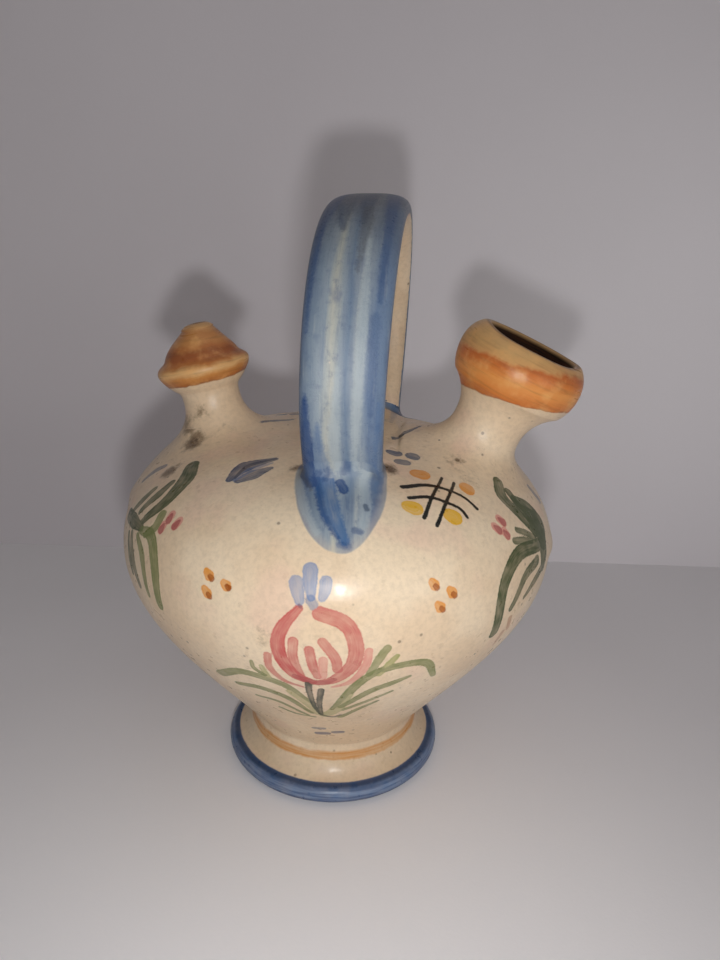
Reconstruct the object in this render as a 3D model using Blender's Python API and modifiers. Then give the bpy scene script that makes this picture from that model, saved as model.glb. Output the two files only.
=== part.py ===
"""A small two-spouted water jug of glazed earthenware, built from the pieces a potter lutes together.

The body is thrown as a bowl and a shoulder that meet at the belly. It stands on a flared foot.
A wide mouth for filling leans to +X, a drinking spout leans to -X, and a strap handle
springs over the body from front (-Y) to rear (+Y).
The origin is the centre of the flat underside, on the axis that the body was thrown about.
All lengths are in metres.
"""
import math

import bmesh
import bpy
import numpy as np

# Fits and fineness
SEAM = 0.0003
MERGE = 0.00002
TURN_STEPS = 48
SMALL_TURN_STEPS = 32

# Foot
FOOT_RADIUS = 0.029
FOOT_ROLL = 0.0024
FOOT_FLARE = 0.0034

# Body
WALL = 0.004
WAIST_RADIUS = 0.022
WAIST_HEIGHT = 0.013
FOOT_FLOOR = 0.0075
BELLY_RADIUS = 0.053
BELLY_HEIGHT = 0.063
BODY_TOP = 0.090

# Filling mouth
MOUTH_REACH = 0.0356
MOUTH_STAND = 0.0070
MOUTH_LEAN = math.radians(23.9)
MOUTH_WAIST_RADIUS = 0.0086
MOUTH_NECK_WALL = 0.0029
MOUTH_NECK_RISE = 0.0098
MOUTH_FLARE_RADIUS = 0.0140
COLLAR_SWELL = 0.0030
COLLAR_HEIGHT = 0.0125
LIP_RADIUS = 0.0118
LIP_ROLL = 0.0009

# Drinking spout
SPOUT_REACH = 0.0326
SPOUT_STAND = 0.0094
SPOUT_LEAN = math.radians(-13.2)
SPOUT_WAIST_RADIUS = 0.0070
SPOUT_NECK_WALL = 0.0029
SPOUT_NECK_RISE = 0.0025
SPOUT_FLARE_RADIUS = 0.0074
DISC_RADIUS = 0.0116
DISC_RISE = 0.0053
TEAT_LENGTH = 0.0105
TEAT_BASE_RADIUS = 0.0091
TEAT_TIP_RADIUS = 0.0030
TEAT_TIP_ROLL = 0.0012
TEAT_HOLE_RADIUS = 0.00125

# Handle
HANDLE_OFFSET = 0.0047
HANDLE_LEAN = math.radians(1.3)
HANDLE_TOP = 0.1440
HANDLE_HALF_SPAN = 0.0375
HANDLE_FOOT_REACH = 0.0265
STRAP_WIDTH = 0.0165
STRAP_THICKNESS = 0.0062
CREST_SWELL = 1.05
CREST_TWIST = math.radians(-14.0)
WAD_LENGTH = 0.0215
WAD_WIDTH = 0.0186
WAD_THICKNESS = 0.0020
WAD_DRIFT = 0.0034

# Colours, as red, green and blue
CREAM = (0.70, 0.57, 0.43)
OCHRE = (0.60, 0.25, 0.05)
BLUE = (0.07, 0.14, 0.34)


def clear_scene():
    for item in list(bpy.data.objects):
        bpy.data.objects.remove(item, do_unlink=True)


def collection(name):
    made = bpy.data.collections.new(name)
    bpy.context.scene.collection.children.link(made)
    return made


def glaze(name, colour, roughness):
    made = bpy.data.materials.new(name)
    made.use_nodes = True
    shader = made.node_tree.nodes["Principled BSDF"]
    shader.inputs["Base Color"].default_value = (*colour, 1.0)
    shader.inputs["Roughness"].default_value = roughness
    shader.inputs["Metallic"].default_value = 0.0
    return made


def bezier(start, pull_start, pull_end, end, steps):
    """Points along one smooth curve, both ends included."""
    points = []
    for index in range(steps + 1):
        t = index / steps
        weights = ((1 - t) ** 3, 3 * (1 - t) ** 2 * t, 3 * (1 - t) * t ** 2, t ** 3)
        corners = (start, pull_start, pull_end, end)
        points.append(tuple(sum(w * c[axis] for w, c in zip(weights, corners)) for axis in (0, 1)))
    return points


def arc(centre, radius, start, end, steps):
    """Points on an arc, with its angles in degrees from the outward radius."""
    angles = [math.radians(start + (end - start) * i / steps) for i in range(steps + 1)]
    return [(centre[0] + radius * math.cos(a), centre[1] + radius * math.sin(a)) for a in angles]


def offset(points, distance):
    """The same outline moved to the right of its own direction, with its ends kept on the axis."""
    path = np.array(points)
    along = np.gradient(path, axis=0)
    along /= np.linalg.norm(along, axis=1)[:, None]
    moved = path + distance * np.stack([along[:, 1], -along[:, 0]], axis=1)
    moved[path[:, 0] == 0.0, 0] = 0.0
    return [(float(radius), float(height)) for radius, height in moved]


def turned(name, points, home, finish, closed=False, steps=TURN_STEPS):
    """A body thrown on the wheel: an outline that runs down its outer side, screwed about Z."""
    mesh = bpy.data.meshes.new(name)
    edges = [(i, i + 1) for i in range(len(points) - 1)]
    if closed:
        edges.append((len(points) - 1, 0))
    mesh.from_pydata([(radius, 0.0, height) for radius, height in points], edges, [])
    made = bpy.data.objects.new(name, mesh)
    home.objects.link(made)
    screw = made.modifiers.new("throw", "SCREW")
    screw.axis = "Z"
    screw.angle = math.tau
    screw.steps = steps
    screw.render_steps = steps
    screw.use_merge_vertices = True
    screw.merge_threshold = MERGE
    screw.use_smooth_shade = True
    if finish:
        mesh.materials.append(finish)
    return made


def hide_as_tool(tool):
    tool.hide_render = True
    tool.display_type = "WIRE"
    return tool


def cut(piece, tool):
    trim = piece.modifiers.new("cut by " + tool.name, "BOOLEAN")
    trim.operation = "DIFFERENCE"
    trim.solver = "EXACT"
    trim.object = tool


def lean(piece, reach, height, angle):
    """Stands a turned piece on the shoulder, its axis leaning outwards in the XZ plane."""
    piece.location = (reach, 0.0, height)
    piece.rotation_euler = (0.0, angle, 0.0)


# The body's outline, from which every seat and cut is taken
def bottom_line(steps=6):
    """The bowl's rounded bottom, from the axis out to the waist."""
    return bezier((0.0, FOOT_FLOOR), (WAIST_RADIUS * 0.5, FOOT_FLOOR),
                  (WAIST_RADIUS * 0.86, FOOT_FLOOR + 0.3 * (WAIST_HEIGHT - FOOT_FLOOR)),
                  (WAIST_RADIUS, WAIST_HEIGHT), steps)


def bowl_line(steps=10):
    """From the waist up to the belly."""
    spread = BELLY_RADIUS - WAIST_RADIUS
    rise = BELLY_HEIGHT - WAIST_HEIGHT
    return bezier((WAIST_RADIUS, WAIST_HEIGHT),
                  (WAIST_RADIUS + 0.48 * spread, WAIST_HEIGHT + 0.40 * rise),
                  (BELLY_RADIUS, BELLY_HEIGHT - 0.28 * rise),
                  (BELLY_RADIUS, BELLY_HEIGHT), steps)


def dome_line(steps=14):
    """From the belly over the shoulder to the axis."""
    rise = BODY_TOP - BELLY_HEIGHT
    return bezier((BELLY_RADIUS, BELLY_HEIGHT), (BELLY_RADIUS, BELLY_HEIGHT + 0.72 * rise),
                  (0.66 * BELLY_RADIUS, BODY_TOP), (0.0, BODY_TOP), steps)


def shoulder_height(radius):
    """How high the shoulder's outer face lies at a distance from the axis."""
    line = dome_line(200)[::-1]
    return float(np.interp(radius, [point[0] for point in line], [point[1] for point in line]))


def mouth_place():
    """Reach and height of the middle of the neck's waist."""
    return MOUTH_REACH, shoulder_height(MOUTH_REACH) + MOUTH_STAND


def spout_place():
    """Reach and height of the middle of the spout's waist."""
    return -SPOUT_REACH, shoulder_height(SPOUT_REACH) + SPOUT_STAND


def build_foot(home, finish):
    """A thrown stand: flat below, flared and rolled at the rim, dished on top for the bowl."""
    dish = offset(bottom_line(), SEAM)
    neck = dish[-1]
    roll_centre = (FOOT_RADIUS - FOOT_ROLL, FOOT_ROLL)
    roll = arc(roll_centre, FOOT_ROLL, 85.0, -90.0, 8)
    flare = bezier(neck, (neck[0] + 0.1 * FOOT_FLARE, neck[1] - FOOT_FLARE),
                   (roll[0][0] - FOOT_FLARE, roll[0][1] + 0.3 * FOOT_FLARE), roll[0], 6)
    outline = dish + flare[1:] + roll[1:] + [(0.0, 0.0)]
    return turned("foot", outline, home, finish)


def build_bowl(home, finish):
    """The lower half of the body, closed below and open at the belly."""
    outer = bottom_line() + bowl_line()[1:]
    inner = offset(outer, -WALL)
    outline = inner[:-1] + [(BELLY_RADIUS - WALL, BELLY_HEIGHT - SEAM), (BELLY_RADIUS, BELLY_HEIGHT - SEAM)]
    outline += outer[::-1][1:]
    return turned("body_bowl", outline, home, finish)


def build_shoulder(home, finish):
    """The upper half of the body, open at the belly and pierced under the mouth and the spout."""
    outer = dome_line()
    inner = offset(outer, -WALL)
    outline = outer[::-1] + inner
    return turned("body_shoulder", outline, home, finish)


def shoulder_tool(home):
    """The body's outer form with the seam added, which trims whatever stands on the shoulder."""
    outline = offset(dome_line(), SEAM)[::-1]
    outline += [(BELLY_RADIUS + SEAM, WAIST_HEIGHT), (0.0, WAIST_HEIGHT)]
    return hide_as_tool(turned("shoulder_form", outline, home, None))


def mouth_bore():
    return MOUTH_WAIST_RADIUS - MOUTH_NECK_WALL


def mouth_throat(steps=8):
    """The inside of the mouth, from the lip down to the neck's bore."""
    top = MOUTH_NECK_RISE + COLLAR_HEIGHT
    throat = LIP_RADIUS - LIP_ROLL
    return bezier((throat, top - LIP_ROLL), (throat - LIP_ROLL, MOUTH_NECK_RISE + 0.55 * COLLAR_HEIGHT),
                  (mouth_bore(), MOUTH_NECK_RISE + 0.35 * COLLAR_HEIGHT),
                  (mouth_bore(), 0.5 * MOUTH_NECK_RISE), steps)


def radius_at(line, height):
    """Radius of a falling outline at a height."""
    rising = line[::-1]
    return float(np.interp(height, [point[1] for point in rising], [point[0] for point in rising]))


def build_mouth_neck(home, finish, form):
    """A short waisted neck, flared above to carry the collar and below onto the shoulder."""
    root = -(MOUTH_STAND + 1.6 * MOUTH_WAIST_RADIUS)
    top = MOUTH_NECK_RISE - SEAM
    above = bezier((MOUTH_FLARE_RADIUS, top), (0.76 * MOUTH_FLARE_RADIUS, 0.78 * top),
                   (MOUTH_WAIST_RADIUS, 0.42 * top), (MOUTH_WAIST_RADIUS, 0.0), 8)
    below = bezier(above[-1], (MOUTH_WAIST_RADIUS, -0.34 * MOUTH_WAIST_RADIUS),
                   (1.12 * MOUTH_WAIST_RADIUS, -0.60 * MOUTH_WAIST_RADIUS),
                   (1.75 * MOUTH_WAIST_RADIUS, -1.05 * MOUTH_WAIST_RADIUS), 7)
    throat = [point for point in mouth_throat() if point[1] < top - SEAM]
    inner = throat[::-1] + [(radius_at(mouth_throat(), top), top)]
    outline = above + below[1:] + [(below[-1][0], root), (mouth_bore(), root)] + inner
    neck = turned("mouth_neck", outline, home, finish, closed=True, steps=SMALL_TURN_STEPS)
    lean(neck, *mouth_place(), MOUTH_LEAN)
    cut(neck, form)
    return neck


def build_mouth_collar(home, finish):
    """The thick rolled collar that the hand closes round to fill the jug."""
    seat = MOUTH_NECK_RISE
    top = seat + COLLAR_HEIGHT
    bulge = bezier((LIP_RADIUS + LIP_ROLL, top - 0.3 * LIP_ROLL),
                   (MOUTH_FLARE_RADIUS + 1.1 * COLLAR_SWELL, top - 0.30 * COLLAR_HEIGHT),
                   (MOUTH_FLARE_RADIUS + 0.4 * COLLAR_SWELL, seat + 0.11 * COLLAR_HEIGHT),
                   (MOUTH_FLARE_RADIUS, seat), 12)
    lip = [(LIP_RADIUS, top)]
    throat = [point for point in mouth_throat() if point[1] > seat + SEAM]
    outline = bulge + [(radius_at(mouth_throat(), seat), seat)] + throat[::-1] + lip
    collar = turned("mouth_collar", outline, home, finish, closed=True, steps=SMALL_TURN_STEPS)
    lean(collar, *mouth_place(), MOUTH_LEAN)
    return collar


def spout_bore():
    return SPOUT_WAIST_RADIUS - SPOUT_NECK_WALL


def build_spout_neck(home, finish, form):
    """The slim neck that carries the drinking spout."""
    root = -(SPOUT_STAND + 1.25 * SPOUT_WAIST_RADIUS)
    top = SPOUT_NECK_RISE - SEAM
    above = bezier((SPOUT_FLARE_RADIUS, top), (SPOUT_WAIST_RADIUS, 0.8 * top),
                   (SPOUT_WAIST_RADIUS, 0.4 * top), (SPOUT_WAIST_RADIUS, -0.1 * top), 4)
    below = bezier(above[-1], (SPOUT_WAIST_RADIUS, -0.50 * SPOUT_WAIST_RADIUS),
                   (1.20 * SPOUT_WAIST_RADIUS, -0.95 * SPOUT_WAIST_RADIUS),
                   (2.05 * SPOUT_WAIST_RADIUS, -1.55 * SPOUT_WAIST_RADIUS), 8)
    outline = above + below[1:] + [(below[-1][0], root), (spout_bore(), root), (spout_bore(), top)]
    neck = turned("spout_neck", outline, home, finish, closed=True, steps=SMALL_TURN_STEPS)
    lean(neck, *spout_place(), SPOUT_LEAN)
    cut(neck, form)
    return neck


def build_spout_teat(home, finish):
    """The drip disc and the pierced teat above it, thrown as one."""
    seat = SPOUT_NECK_RISE
    ridge = seat + DISC_RISE
    tip = ridge + TEAT_LENGTH
    shoulder = ridge + 0.26 * TEAT_LENGTH
    crown = arc((TEAT_TIP_RADIUS - TEAT_TIP_ROLL, tip - TEAT_TIP_ROLL), TEAT_TIP_ROLL, 90.0, 20.0, 4)
    teat = bezier(crown[-1], (TEAT_TIP_RADIUS + 2.0 * TEAT_TIP_ROLL, tip - 0.29 * TEAT_LENGTH),
                  (TEAT_BASE_RADIUS - TEAT_TIP_ROLL, shoulder + 0.17 * TEAT_LENGTH),
                  (TEAT_BASE_RADIUS, shoulder), 6)
    overhang = DISC_RADIUS - SPOUT_FLARE_RADIUS
    brim = bezier(teat[-1], (TEAT_BASE_RADIUS + 0.10 * overhang, shoulder - 0.15 * DISC_RISE),
                  (DISC_RADIUS, ridge + 0.30 * DISC_RISE), (DISC_RADIUS, ridge), 5)
    under = bezier(brim[-1], (DISC_RADIUS, ridge - 0.26 * DISC_RISE),
                   (SPOUT_FLARE_RADIUS + 0.33 * overhang, seat + 0.15 * DISC_RISE),
                   (SPOUT_FLARE_RADIUS, seat), 5)
    narrow = bezier((spout_bore(), seat), (spout_bore(), ridge + 0.2 * TEAT_LENGTH),
                    (TEAT_HOLE_RADIUS, ridge + 0.4 * TEAT_LENGTH),
                    (TEAT_HOLE_RADIUS, tip - 2.0 * TEAT_TIP_ROLL), 7)
    outline = crown + teat[1:] + brim[1:] + under[1:] + narrow + [(TEAT_HOLE_RADIUS, tip)]
    teat_piece = turned("spout_teat", outline, home, finish, closed=True, steps=SMALL_TURN_STEPS)
    lean(teat_piece, *spout_place(), SPOUT_LEAN)
    return teat_piece


def pierce_shoulder(shoulder, home):
    """The two holes a potter cuts before luting on the mouth and the spout."""
    holes = (("mouth_hole", mouth_bore(), MOUTH_STAND, mouth_place(), MOUTH_LEAN),
             ("spout_hole", spout_bore(), SPOUT_STAND, spout_place(), SPOUT_LEAN))
    for name, bore, stand, place, angle in holes:
        depth = stand + 3.0 * WALL
        outline = [(0.0, depth), (bore, depth), (bore, -depth), (0.0, -depth)]
        tool = hide_as_tool(turned(name, outline, home, None, steps=SMALL_TURN_STEPS))
        lean(tool, *place, angle)
        cut(shoulder, tool)


def strap_route(steps=12):
    """The strap's middle line in the YZ plane, from under the front foot over to the rear."""
    middle_top = HANDLE_TOP - 0.5 * STRAP_THICKNESS * CREST_SWELL
    foot_height = shoulder_height(HANDLE_FOOT_REACH) - 2.0 * STRAP_THICKNESS
    spring = 0.5 * (foot_height + middle_top)
    lift = spring - foot_height
    lower = bezier((-HANDLE_FOOT_REACH, foot_height), (-HANDLE_FOOT_REACH, foot_height + 0.4 * lift),
                   (-HANDLE_HALF_SPAN, spring - 0.4 * lift), (-HANDLE_HALF_SPAN, spring), steps // 2)
    upper = bezier((-HANDLE_HALF_SPAN, spring), (-HANDLE_HALF_SPAN, spring + 0.62 * lift),
                   (-0.62 * HANDLE_HALF_SPAN, middle_top), (0.0, middle_top), steps)
    half = lower + upper[1:]
    whole = half + [(-along, height) for along, height in half[-2::-1]]
    return [(handle_middle(height), along, height) for along, height in whole]


def flat_section(name, width, thickness, home, count=16):
    """A pulled strap's section: flat-faced with well rounded edges, drawn as a closed curve."""
    data = bpy.data.curves.new(name, "CURVE")
    data.dimensions = "2D"
    spline = data.splines.new("POLY")
    spline.points.add(count - 1)
    for index, point in enumerate(spline.points):
        turn = math.tau * index / count
        wide, thin = math.cos(turn), math.sin(turn)
        x = 0.5 * width * math.copysign(abs(wide) ** 0.62, wide)
        y = 0.5 * thickness * math.copysign(abs(thin) ** 0.80, thin)
        point.co = (x, y, 0.0, 1.0)
    spline.use_cyclic_u = True
    section = bpy.data.objects.new(name, data)
    home.objects.link(section)
    return hide_as_tool(section)


def handle_middle(height):
    """Where the middle of the strap lies along X: it was set a little off centre and leans."""
    return HANDLE_OFFSET + (height - BODY_TOP) * math.tan(HANDLE_LEAN)


def swept(name, route, swells, twists, section, home, finish):
    """Carries a section along a route of points and turns it into a closed mesh."""
    data = bpy.data.curves.new(name, "CURVE")
    data.dimensions = "3D"
    data.twist_mode = "MINIMUM"
    data.bevel_mode = "OBJECT"
    data.bevel_object = section
    data.use_fill_caps = True
    spline = data.splines.new("POLY")
    spline.points.add(len(route) - 1)
    for point, place, swell, twist in zip(spline.points, route, swells, twists):
        point.co = (*place, 1.0)
        point.radius = swell
        point.tilt = twist
    drawn = bpy.data.objects.new(name + "_route", data)
    home.objects.link(drawn)
    bpy.context.view_layer.update()
    mesh = bpy.data.meshes.new_from_object(drawn.evaluated_get(bpy.context.evaluated_depsgraph_get()))
    bpy.data.objects.remove(drawn)
    shape = bmesh.new()
    shape.from_mesh(mesh)
    bmesh.ops.remove_doubles(shape, verts=shape.verts, dist=MERGE)
    bmesh.ops.recalc_face_normals(shape, faces=shape.faces)
    shape.to_mesh(mesh)
    shape.free()
    mesh.name = name
    mesh.materials.clear()
    if finish:
        mesh.materials.append(finish)
    mesh.shade_smooth()
    mesh.set_sharp_from_angle(angle=math.radians(50.0))
    made = bpy.data.objects.new(name, mesh)
    home.objects.link(made)
    return made


def towards_crest(route):
    """For each point of the strap, 0 at its feet rising to 1 at the crest of the arch."""
    low = shoulder_height(HANDLE_FOOT_REACH)
    return [max(0.0, (height - low) / (HANDLE_TOP - low)) ** 2 for _, _, height in route]


def strap_along(name, section, home, finish):
    """The strap widens gently towards its crest, where it is also twisted a little."""
    route = strap_route()
    rise = towards_crest(route)
    swells = [1.0 + (CREST_SWELL - 1.0) * part for part in rise]
    twists = [CREST_TWIST * part for part in rise]
    return swept(name, route, swells, twists, section, home, finish)


def build_handle(home, tools, finish, form):
    """The pulled strap that arches over the body, trimmed to the shoulder at both feet."""
    section = flat_section("strap_section", STRAP_WIDTH, STRAP_THICKNESS, tools)
    strap = strap_along("handle_strap", section, home, finish)
    cut(strap, form)
    return strap


def strap_tool(tools):
    """The strap with the seam added all round, which trims the wads of clay at its feet."""
    section = flat_section("strap_form_section", STRAP_WIDTH + 2 * SEAM, STRAP_THICKNESS + 2 * SEAM, tools)
    return hide_as_tool(strap_along("strap_form", section, tools, None))


def strap_crossing():
    """How far from the axis the strap's middle line comes out of the shoulder."""
    falling = [(-along, height - shoulder_height(-along)) for _, along, height in strap_route() if along < 0.0]
    out = [along for along, _ in falling]
    above = [clear for _, clear in falling]
    last = next(index for index, clear in enumerate(above) if clear > 0.0)
    return float(np.interp(0.0, above[last - 1:last + 1], out[last - 1:last + 1]))


def wad_route(side, drift, steps=10):
    """Down the shoulder from the strap's foot, on the shoulder's own outline, drifting to +X."""
    line = dome_line(200)[::-1]
    path = np.array(line)
    walked = np.concatenate([[0.0], np.cumsum(np.hypot(*np.diff(path, axis=0).T))])
    start = float(np.interp(strap_crossing(), path[:, 0], walked))
    route = []
    for index in range(steps + 1):
        place = start + WAD_LENGTH * index / steps
        middle = HANDLE_OFFSET + drift * (index / steps) ** 2
        out = float(np.interp(place, walked, path[:, 0]))
        route.append((middle, side * math.sqrt(out ** 2 - middle ** 2), shoulder_height(out)))
    return route


def build_wad(name, side, drift, home, tools, finish, form, strap_form):
    """A tongue of soft clay thumbed down from the strap's foot onto the shoulder."""
    route = wad_route(side, drift)
    last = len(route) - 1
    swells = [math.sqrt(1.0 - 0.985 * (i / last) ** 3) for i in range(len(route))]
    section = flat_section(name + "_section", WAD_WIDTH, 2.0 * WAD_THICKNESS, tools)
    wad = swept(name, route, swells, [0.0] * len(route), section, home, finish)
    cut(wad, form)
    cut(wad, strap_form)
    return wad


def build_jug():
    clear_scene()
    home = collection("two_spouted_jug")
    tools = collection("cutters")
    cream = glaze("cream_glaze", CREAM, 0.30)
    ochre = glaze("ochre_glaze", OCHRE, 0.32)
    blue = glaze("blue_glaze", BLUE, 0.30)
    form = shoulder_tool(tools)
    build_foot(home, cream)
    build_bowl(home, cream)
    shoulder = build_shoulder(home, cream)
    pierce_shoulder(shoulder, tools)
    build_mouth_neck(home, cream, form)
    build_mouth_collar(home, ochre)
    build_spout_neck(home, cream, form)
    build_spout_teat(home, ochre)
    build_handle(home, tools, blue, form)
    strap_form = strap_tool(tools)
    build_wad("handle_wad_front", -1.0, WAD_DRIFT, home, tools, blue, form, strap_form)
    build_wad("handle_wad_rear", 1.0, 0.0, home, tools, blue, form, strap_form)


build_jug()
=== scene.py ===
"""A small two-spouted water jug of tin-glazed earthenware, painted by hand, on a pale floor.

Shapes are worked out in millimetres, in the CAD frame: Z is up, the strap handle stands in the
YZ plane, the filling mouth leans to +X and the drinking spout to -X.
"""
from __future__ import annotations

import logging
import math
from collections.abc import Callable
from dataclasses import dataclass, field
from enum import Enum

import bpy
import numpy as np
from mathutils import Matrix, Vector


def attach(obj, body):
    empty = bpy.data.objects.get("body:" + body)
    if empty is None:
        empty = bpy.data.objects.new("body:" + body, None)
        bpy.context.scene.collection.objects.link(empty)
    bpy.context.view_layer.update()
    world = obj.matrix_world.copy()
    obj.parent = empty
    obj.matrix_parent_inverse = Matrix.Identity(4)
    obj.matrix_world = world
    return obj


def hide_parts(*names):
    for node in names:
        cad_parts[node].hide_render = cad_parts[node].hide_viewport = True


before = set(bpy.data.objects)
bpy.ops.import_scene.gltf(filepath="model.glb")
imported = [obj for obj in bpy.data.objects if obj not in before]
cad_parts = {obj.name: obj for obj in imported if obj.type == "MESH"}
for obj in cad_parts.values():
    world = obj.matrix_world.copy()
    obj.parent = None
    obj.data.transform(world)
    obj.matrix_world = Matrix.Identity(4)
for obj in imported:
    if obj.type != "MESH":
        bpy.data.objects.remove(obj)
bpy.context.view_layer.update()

MM = 0.001
# Stands for the length walked on a face that carries no painting
INSIDE = -200.0
# How square the strap's section is, across it and through it
WIDE_POWER, THIN_POWER = 0.62, 0.80
# Where along X the strap meets the shoulder, and the length walked up to the middle of its tongue
STRAP_OFFSET = 4.7
TONGUE_WALKED = 88.0
LOG = logging.getLogger("water_jug")


# Rows of points
def columns(*parts: np.ndarray | float) -> np.ndarray:
    """Quantities side by side, one row for each point."""
    return np.stack(np.broadcast_arrays(*parts), axis=1)


def unit(directions: np.ndarray) -> np.ndarray:
    """Directions at length 1."""
    return directions / np.maximum(np.linalg.norm(directions, axis=1), 1e-9)[:, None]


def heading(line: np.ndarray) -> np.ndarray:
    """A line's direction at each of its points."""
    return unit(np.gradient(line, axis=0))


def part_way(value: np.ndarray, start: float, end: float) -> np.ndarray:
    """How far a value has come from start to end, from 0 to 1."""
    return np.clip((value - start) / (end - start), 0.0, 1.0)


def eased(part: np.ndarray) -> np.ndarray:
    """A share from 0 to 1, made to start and end gently."""
    return part ** 2 * (3.0 - 2.0 * part)


def drawn_out(wave: np.ndarray, power: float) -> np.ndarray:
    """A wave from -1 to 1 with its ends drawn out."""
    return np.sign(wave) * np.abs(wave) ** power


def swung(first: np.ndarray, second: np.ndarray, angle: float) -> tuple:
    """Two coordinates, or two directions, after a turn by an angle."""
    cos, sin = np.cos(angle), np.sin(angle)
    return cos * first + sin * second, cos * second - sin * first


def girth(points: np.ndarray) -> np.ndarray:
    """Distance from the Z axis."""
    return np.hypot(points[:, 0], points[:, 1])


def read_off(places: np.ndarray, marks: np.ndarray, table: np.ndarray) -> np.ndarray:
    """A table's rows read off between its marks."""
    return np.stack([np.interp(places, marks, column) for column in table.T], axis=1)


def blurred(line: np.ndarray, steps: int, mode: str) -> np.ndarray:
    """A line with each point moved to the Gaussian mean of its neighbours."""
    weights = np.exp(-0.5 * (np.arange(-4 * steps, 4 * steps + 1) / steps) ** 2)
    weights /= weights.sum()
    return np.stack([np.convolve(column, weights, mode) for column in line.T], axis=1)


def slope_of(quantity: Callable, points: np.ndarray, reach: float = 0.12) -> np.ndarray:
    """The direction in which a quantity grows, and how fast, at points."""
    steps = reach * np.eye(3)
    return columns(*((quantity(points + step) - quantity(points - step)) / (2.0 * reach) for step in steps))


# Outlines and distances
def bezier(corners: tuple, steps: int) -> np.ndarray:
    """Points along one cubic curve, both ends included.

    Args:
        corners: start, its pull, the end's pull and the end.
        steps: how many steps the curve is cut into.

    Returns:
        An array of steps + 1 points.
    """
    t = np.linspace(0.0, 1.0, steps + 1)[:, None]
    start, pull_start, pull_end, end = (np.array(corner, float) for corner in corners)
    return ((1 - t) ** 3 * start + 3 * (1 - t) ** 2 * t * pull_start
            + 3 * (1 - t) * t ** 2 * pull_end + t ** 3 * end)


def arc(centre: tuple, radius: float, start: float, end: float, steps: int) -> np.ndarray:
    """Points on a circular arc, its angles in degrees."""
    turn = np.radians(np.linspace(start, end, steps + 1))
    return columns(centre[0] + radius * np.cos(turn), centre[1] + radius * np.sin(turn))


def walked_along(line: np.ndarray) -> np.ndarray:
    """Length walked from a line's first point to each of its points."""
    return np.concatenate([[0.0], np.cumsum(np.linalg.norm(np.diff(line, axis=0), axis=1))])


def evenly(line: np.ndarray, spacing: float) -> np.ndarray:
    """The same line with its points about this far apart, both ends kept."""
    walked = walked_along(line)
    count = max(2, int(round(walked[-1] / spacing)) + 1)
    return read_off(np.linspace(0.0, walked[-1], count), walked, line)


def softened(line: np.ndarray, reach: float) -> np.ndarray:
    """A line with its corners worn round, as wet fingers leave them, and its ends kept."""
    fine = evenly(line, reach / 4.0)
    before = 2.0 * fine[0] - fine[16:0:-1]
    after = 2.0 * fine[-1] - fine[-2:-18:-1]
    return blurred(np.concatenate([before, fine, after]), 4, "valid")


def left_of(line: np.ndarray, distance: float) -> np.ndarray:
    """The line moved to the left of its own direction."""
    along = heading(line)
    return line + distance * columns(-along[:, 1], along[:, 0])


def distance_to_outline(points: np.ndarray, outline: np.ndarray) -> np.ndarray:
    """Signed distance from points to a closed outline in the plane, negative inside it.

    Args:
        points: an array of points, two numbers each.
        outline: the outline's corners in order, not repeated at the end.

    Returns:
        One distance for each point.
    """
    ends = np.roll(outline, -1, axis=0)
    sides = ends - outline
    length = np.maximum((sides ** 2).sum(axis=1), 1e-12)
    result = np.empty(len(points))
    for low in range(0, len(points), 4000):
        chosen = points[low:low + 4000, None, :]
        offset = chosen - outline
        part = np.clip((offset * sides).sum(axis=2) / length, 0.0, 1.0)
        near = np.linalg.norm(offset - part[..., None] * sides, axis=2).min(axis=1)
        above, end_above = (chosen[..., 1] >= corners[:, 1] for corners in (outline, ends))
        turn = sides[:, 0] * offset[..., 1] - sides[:, 1] * offset[..., 0]
        falling = (above & ~end_above & (turn < 0)).sum(axis=1)
        rising = (~above & end_above & (turn > 0)).sum(axis=1)
        result[low:low + 4000] = np.where(falling != rising, -near, near)
    return result


class Chart:
    """A quantity worked out once on a grid in the plane and looked up between the grid's points."""

    def __init__(self, low: tuple, high: tuple, spacing: float, quantity: Callable) -> None:
        """Fills the grid.

        Args:
            low: its lowest corner.
            high: its highest corner.
            spacing: how far apart its points are.
            quantity: what gives one number for each point.
        """
        self.low = np.array(low, float)
        self.spacing = spacing
        sides = [np.arange(start, end + spacing, spacing) for start, end in zip(low, high)]
        places = np.stack(np.meshgrid(*sides, indexing="ij"), axis=-1).reshape(-1, 2)
        parts = [quantity(places[start:start + 20000]) for start in range(0, len(places), 20000)]
        self.values = np.concatenate(parts).reshape(len(sides[0]), len(sides[1]))

    def at(self, points: np.ndarray) -> np.ndarray:
        """The quantity at points, or at the chart's edge for points beyond it."""
        size = np.array(self.values.shape) - 1
        place = np.clip((points - self.low) / self.spacing, 0.0, size - 1e-6)
        cell = place.astype(int)
        (x, y), (right, up) = cell.T, (place - cell).T
        low, high = (self.values[side, y] * (1 - up) + self.values[side, y + 1] * up for side in (x, x + 1))
        return low * (1 - right) + high * right


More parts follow.
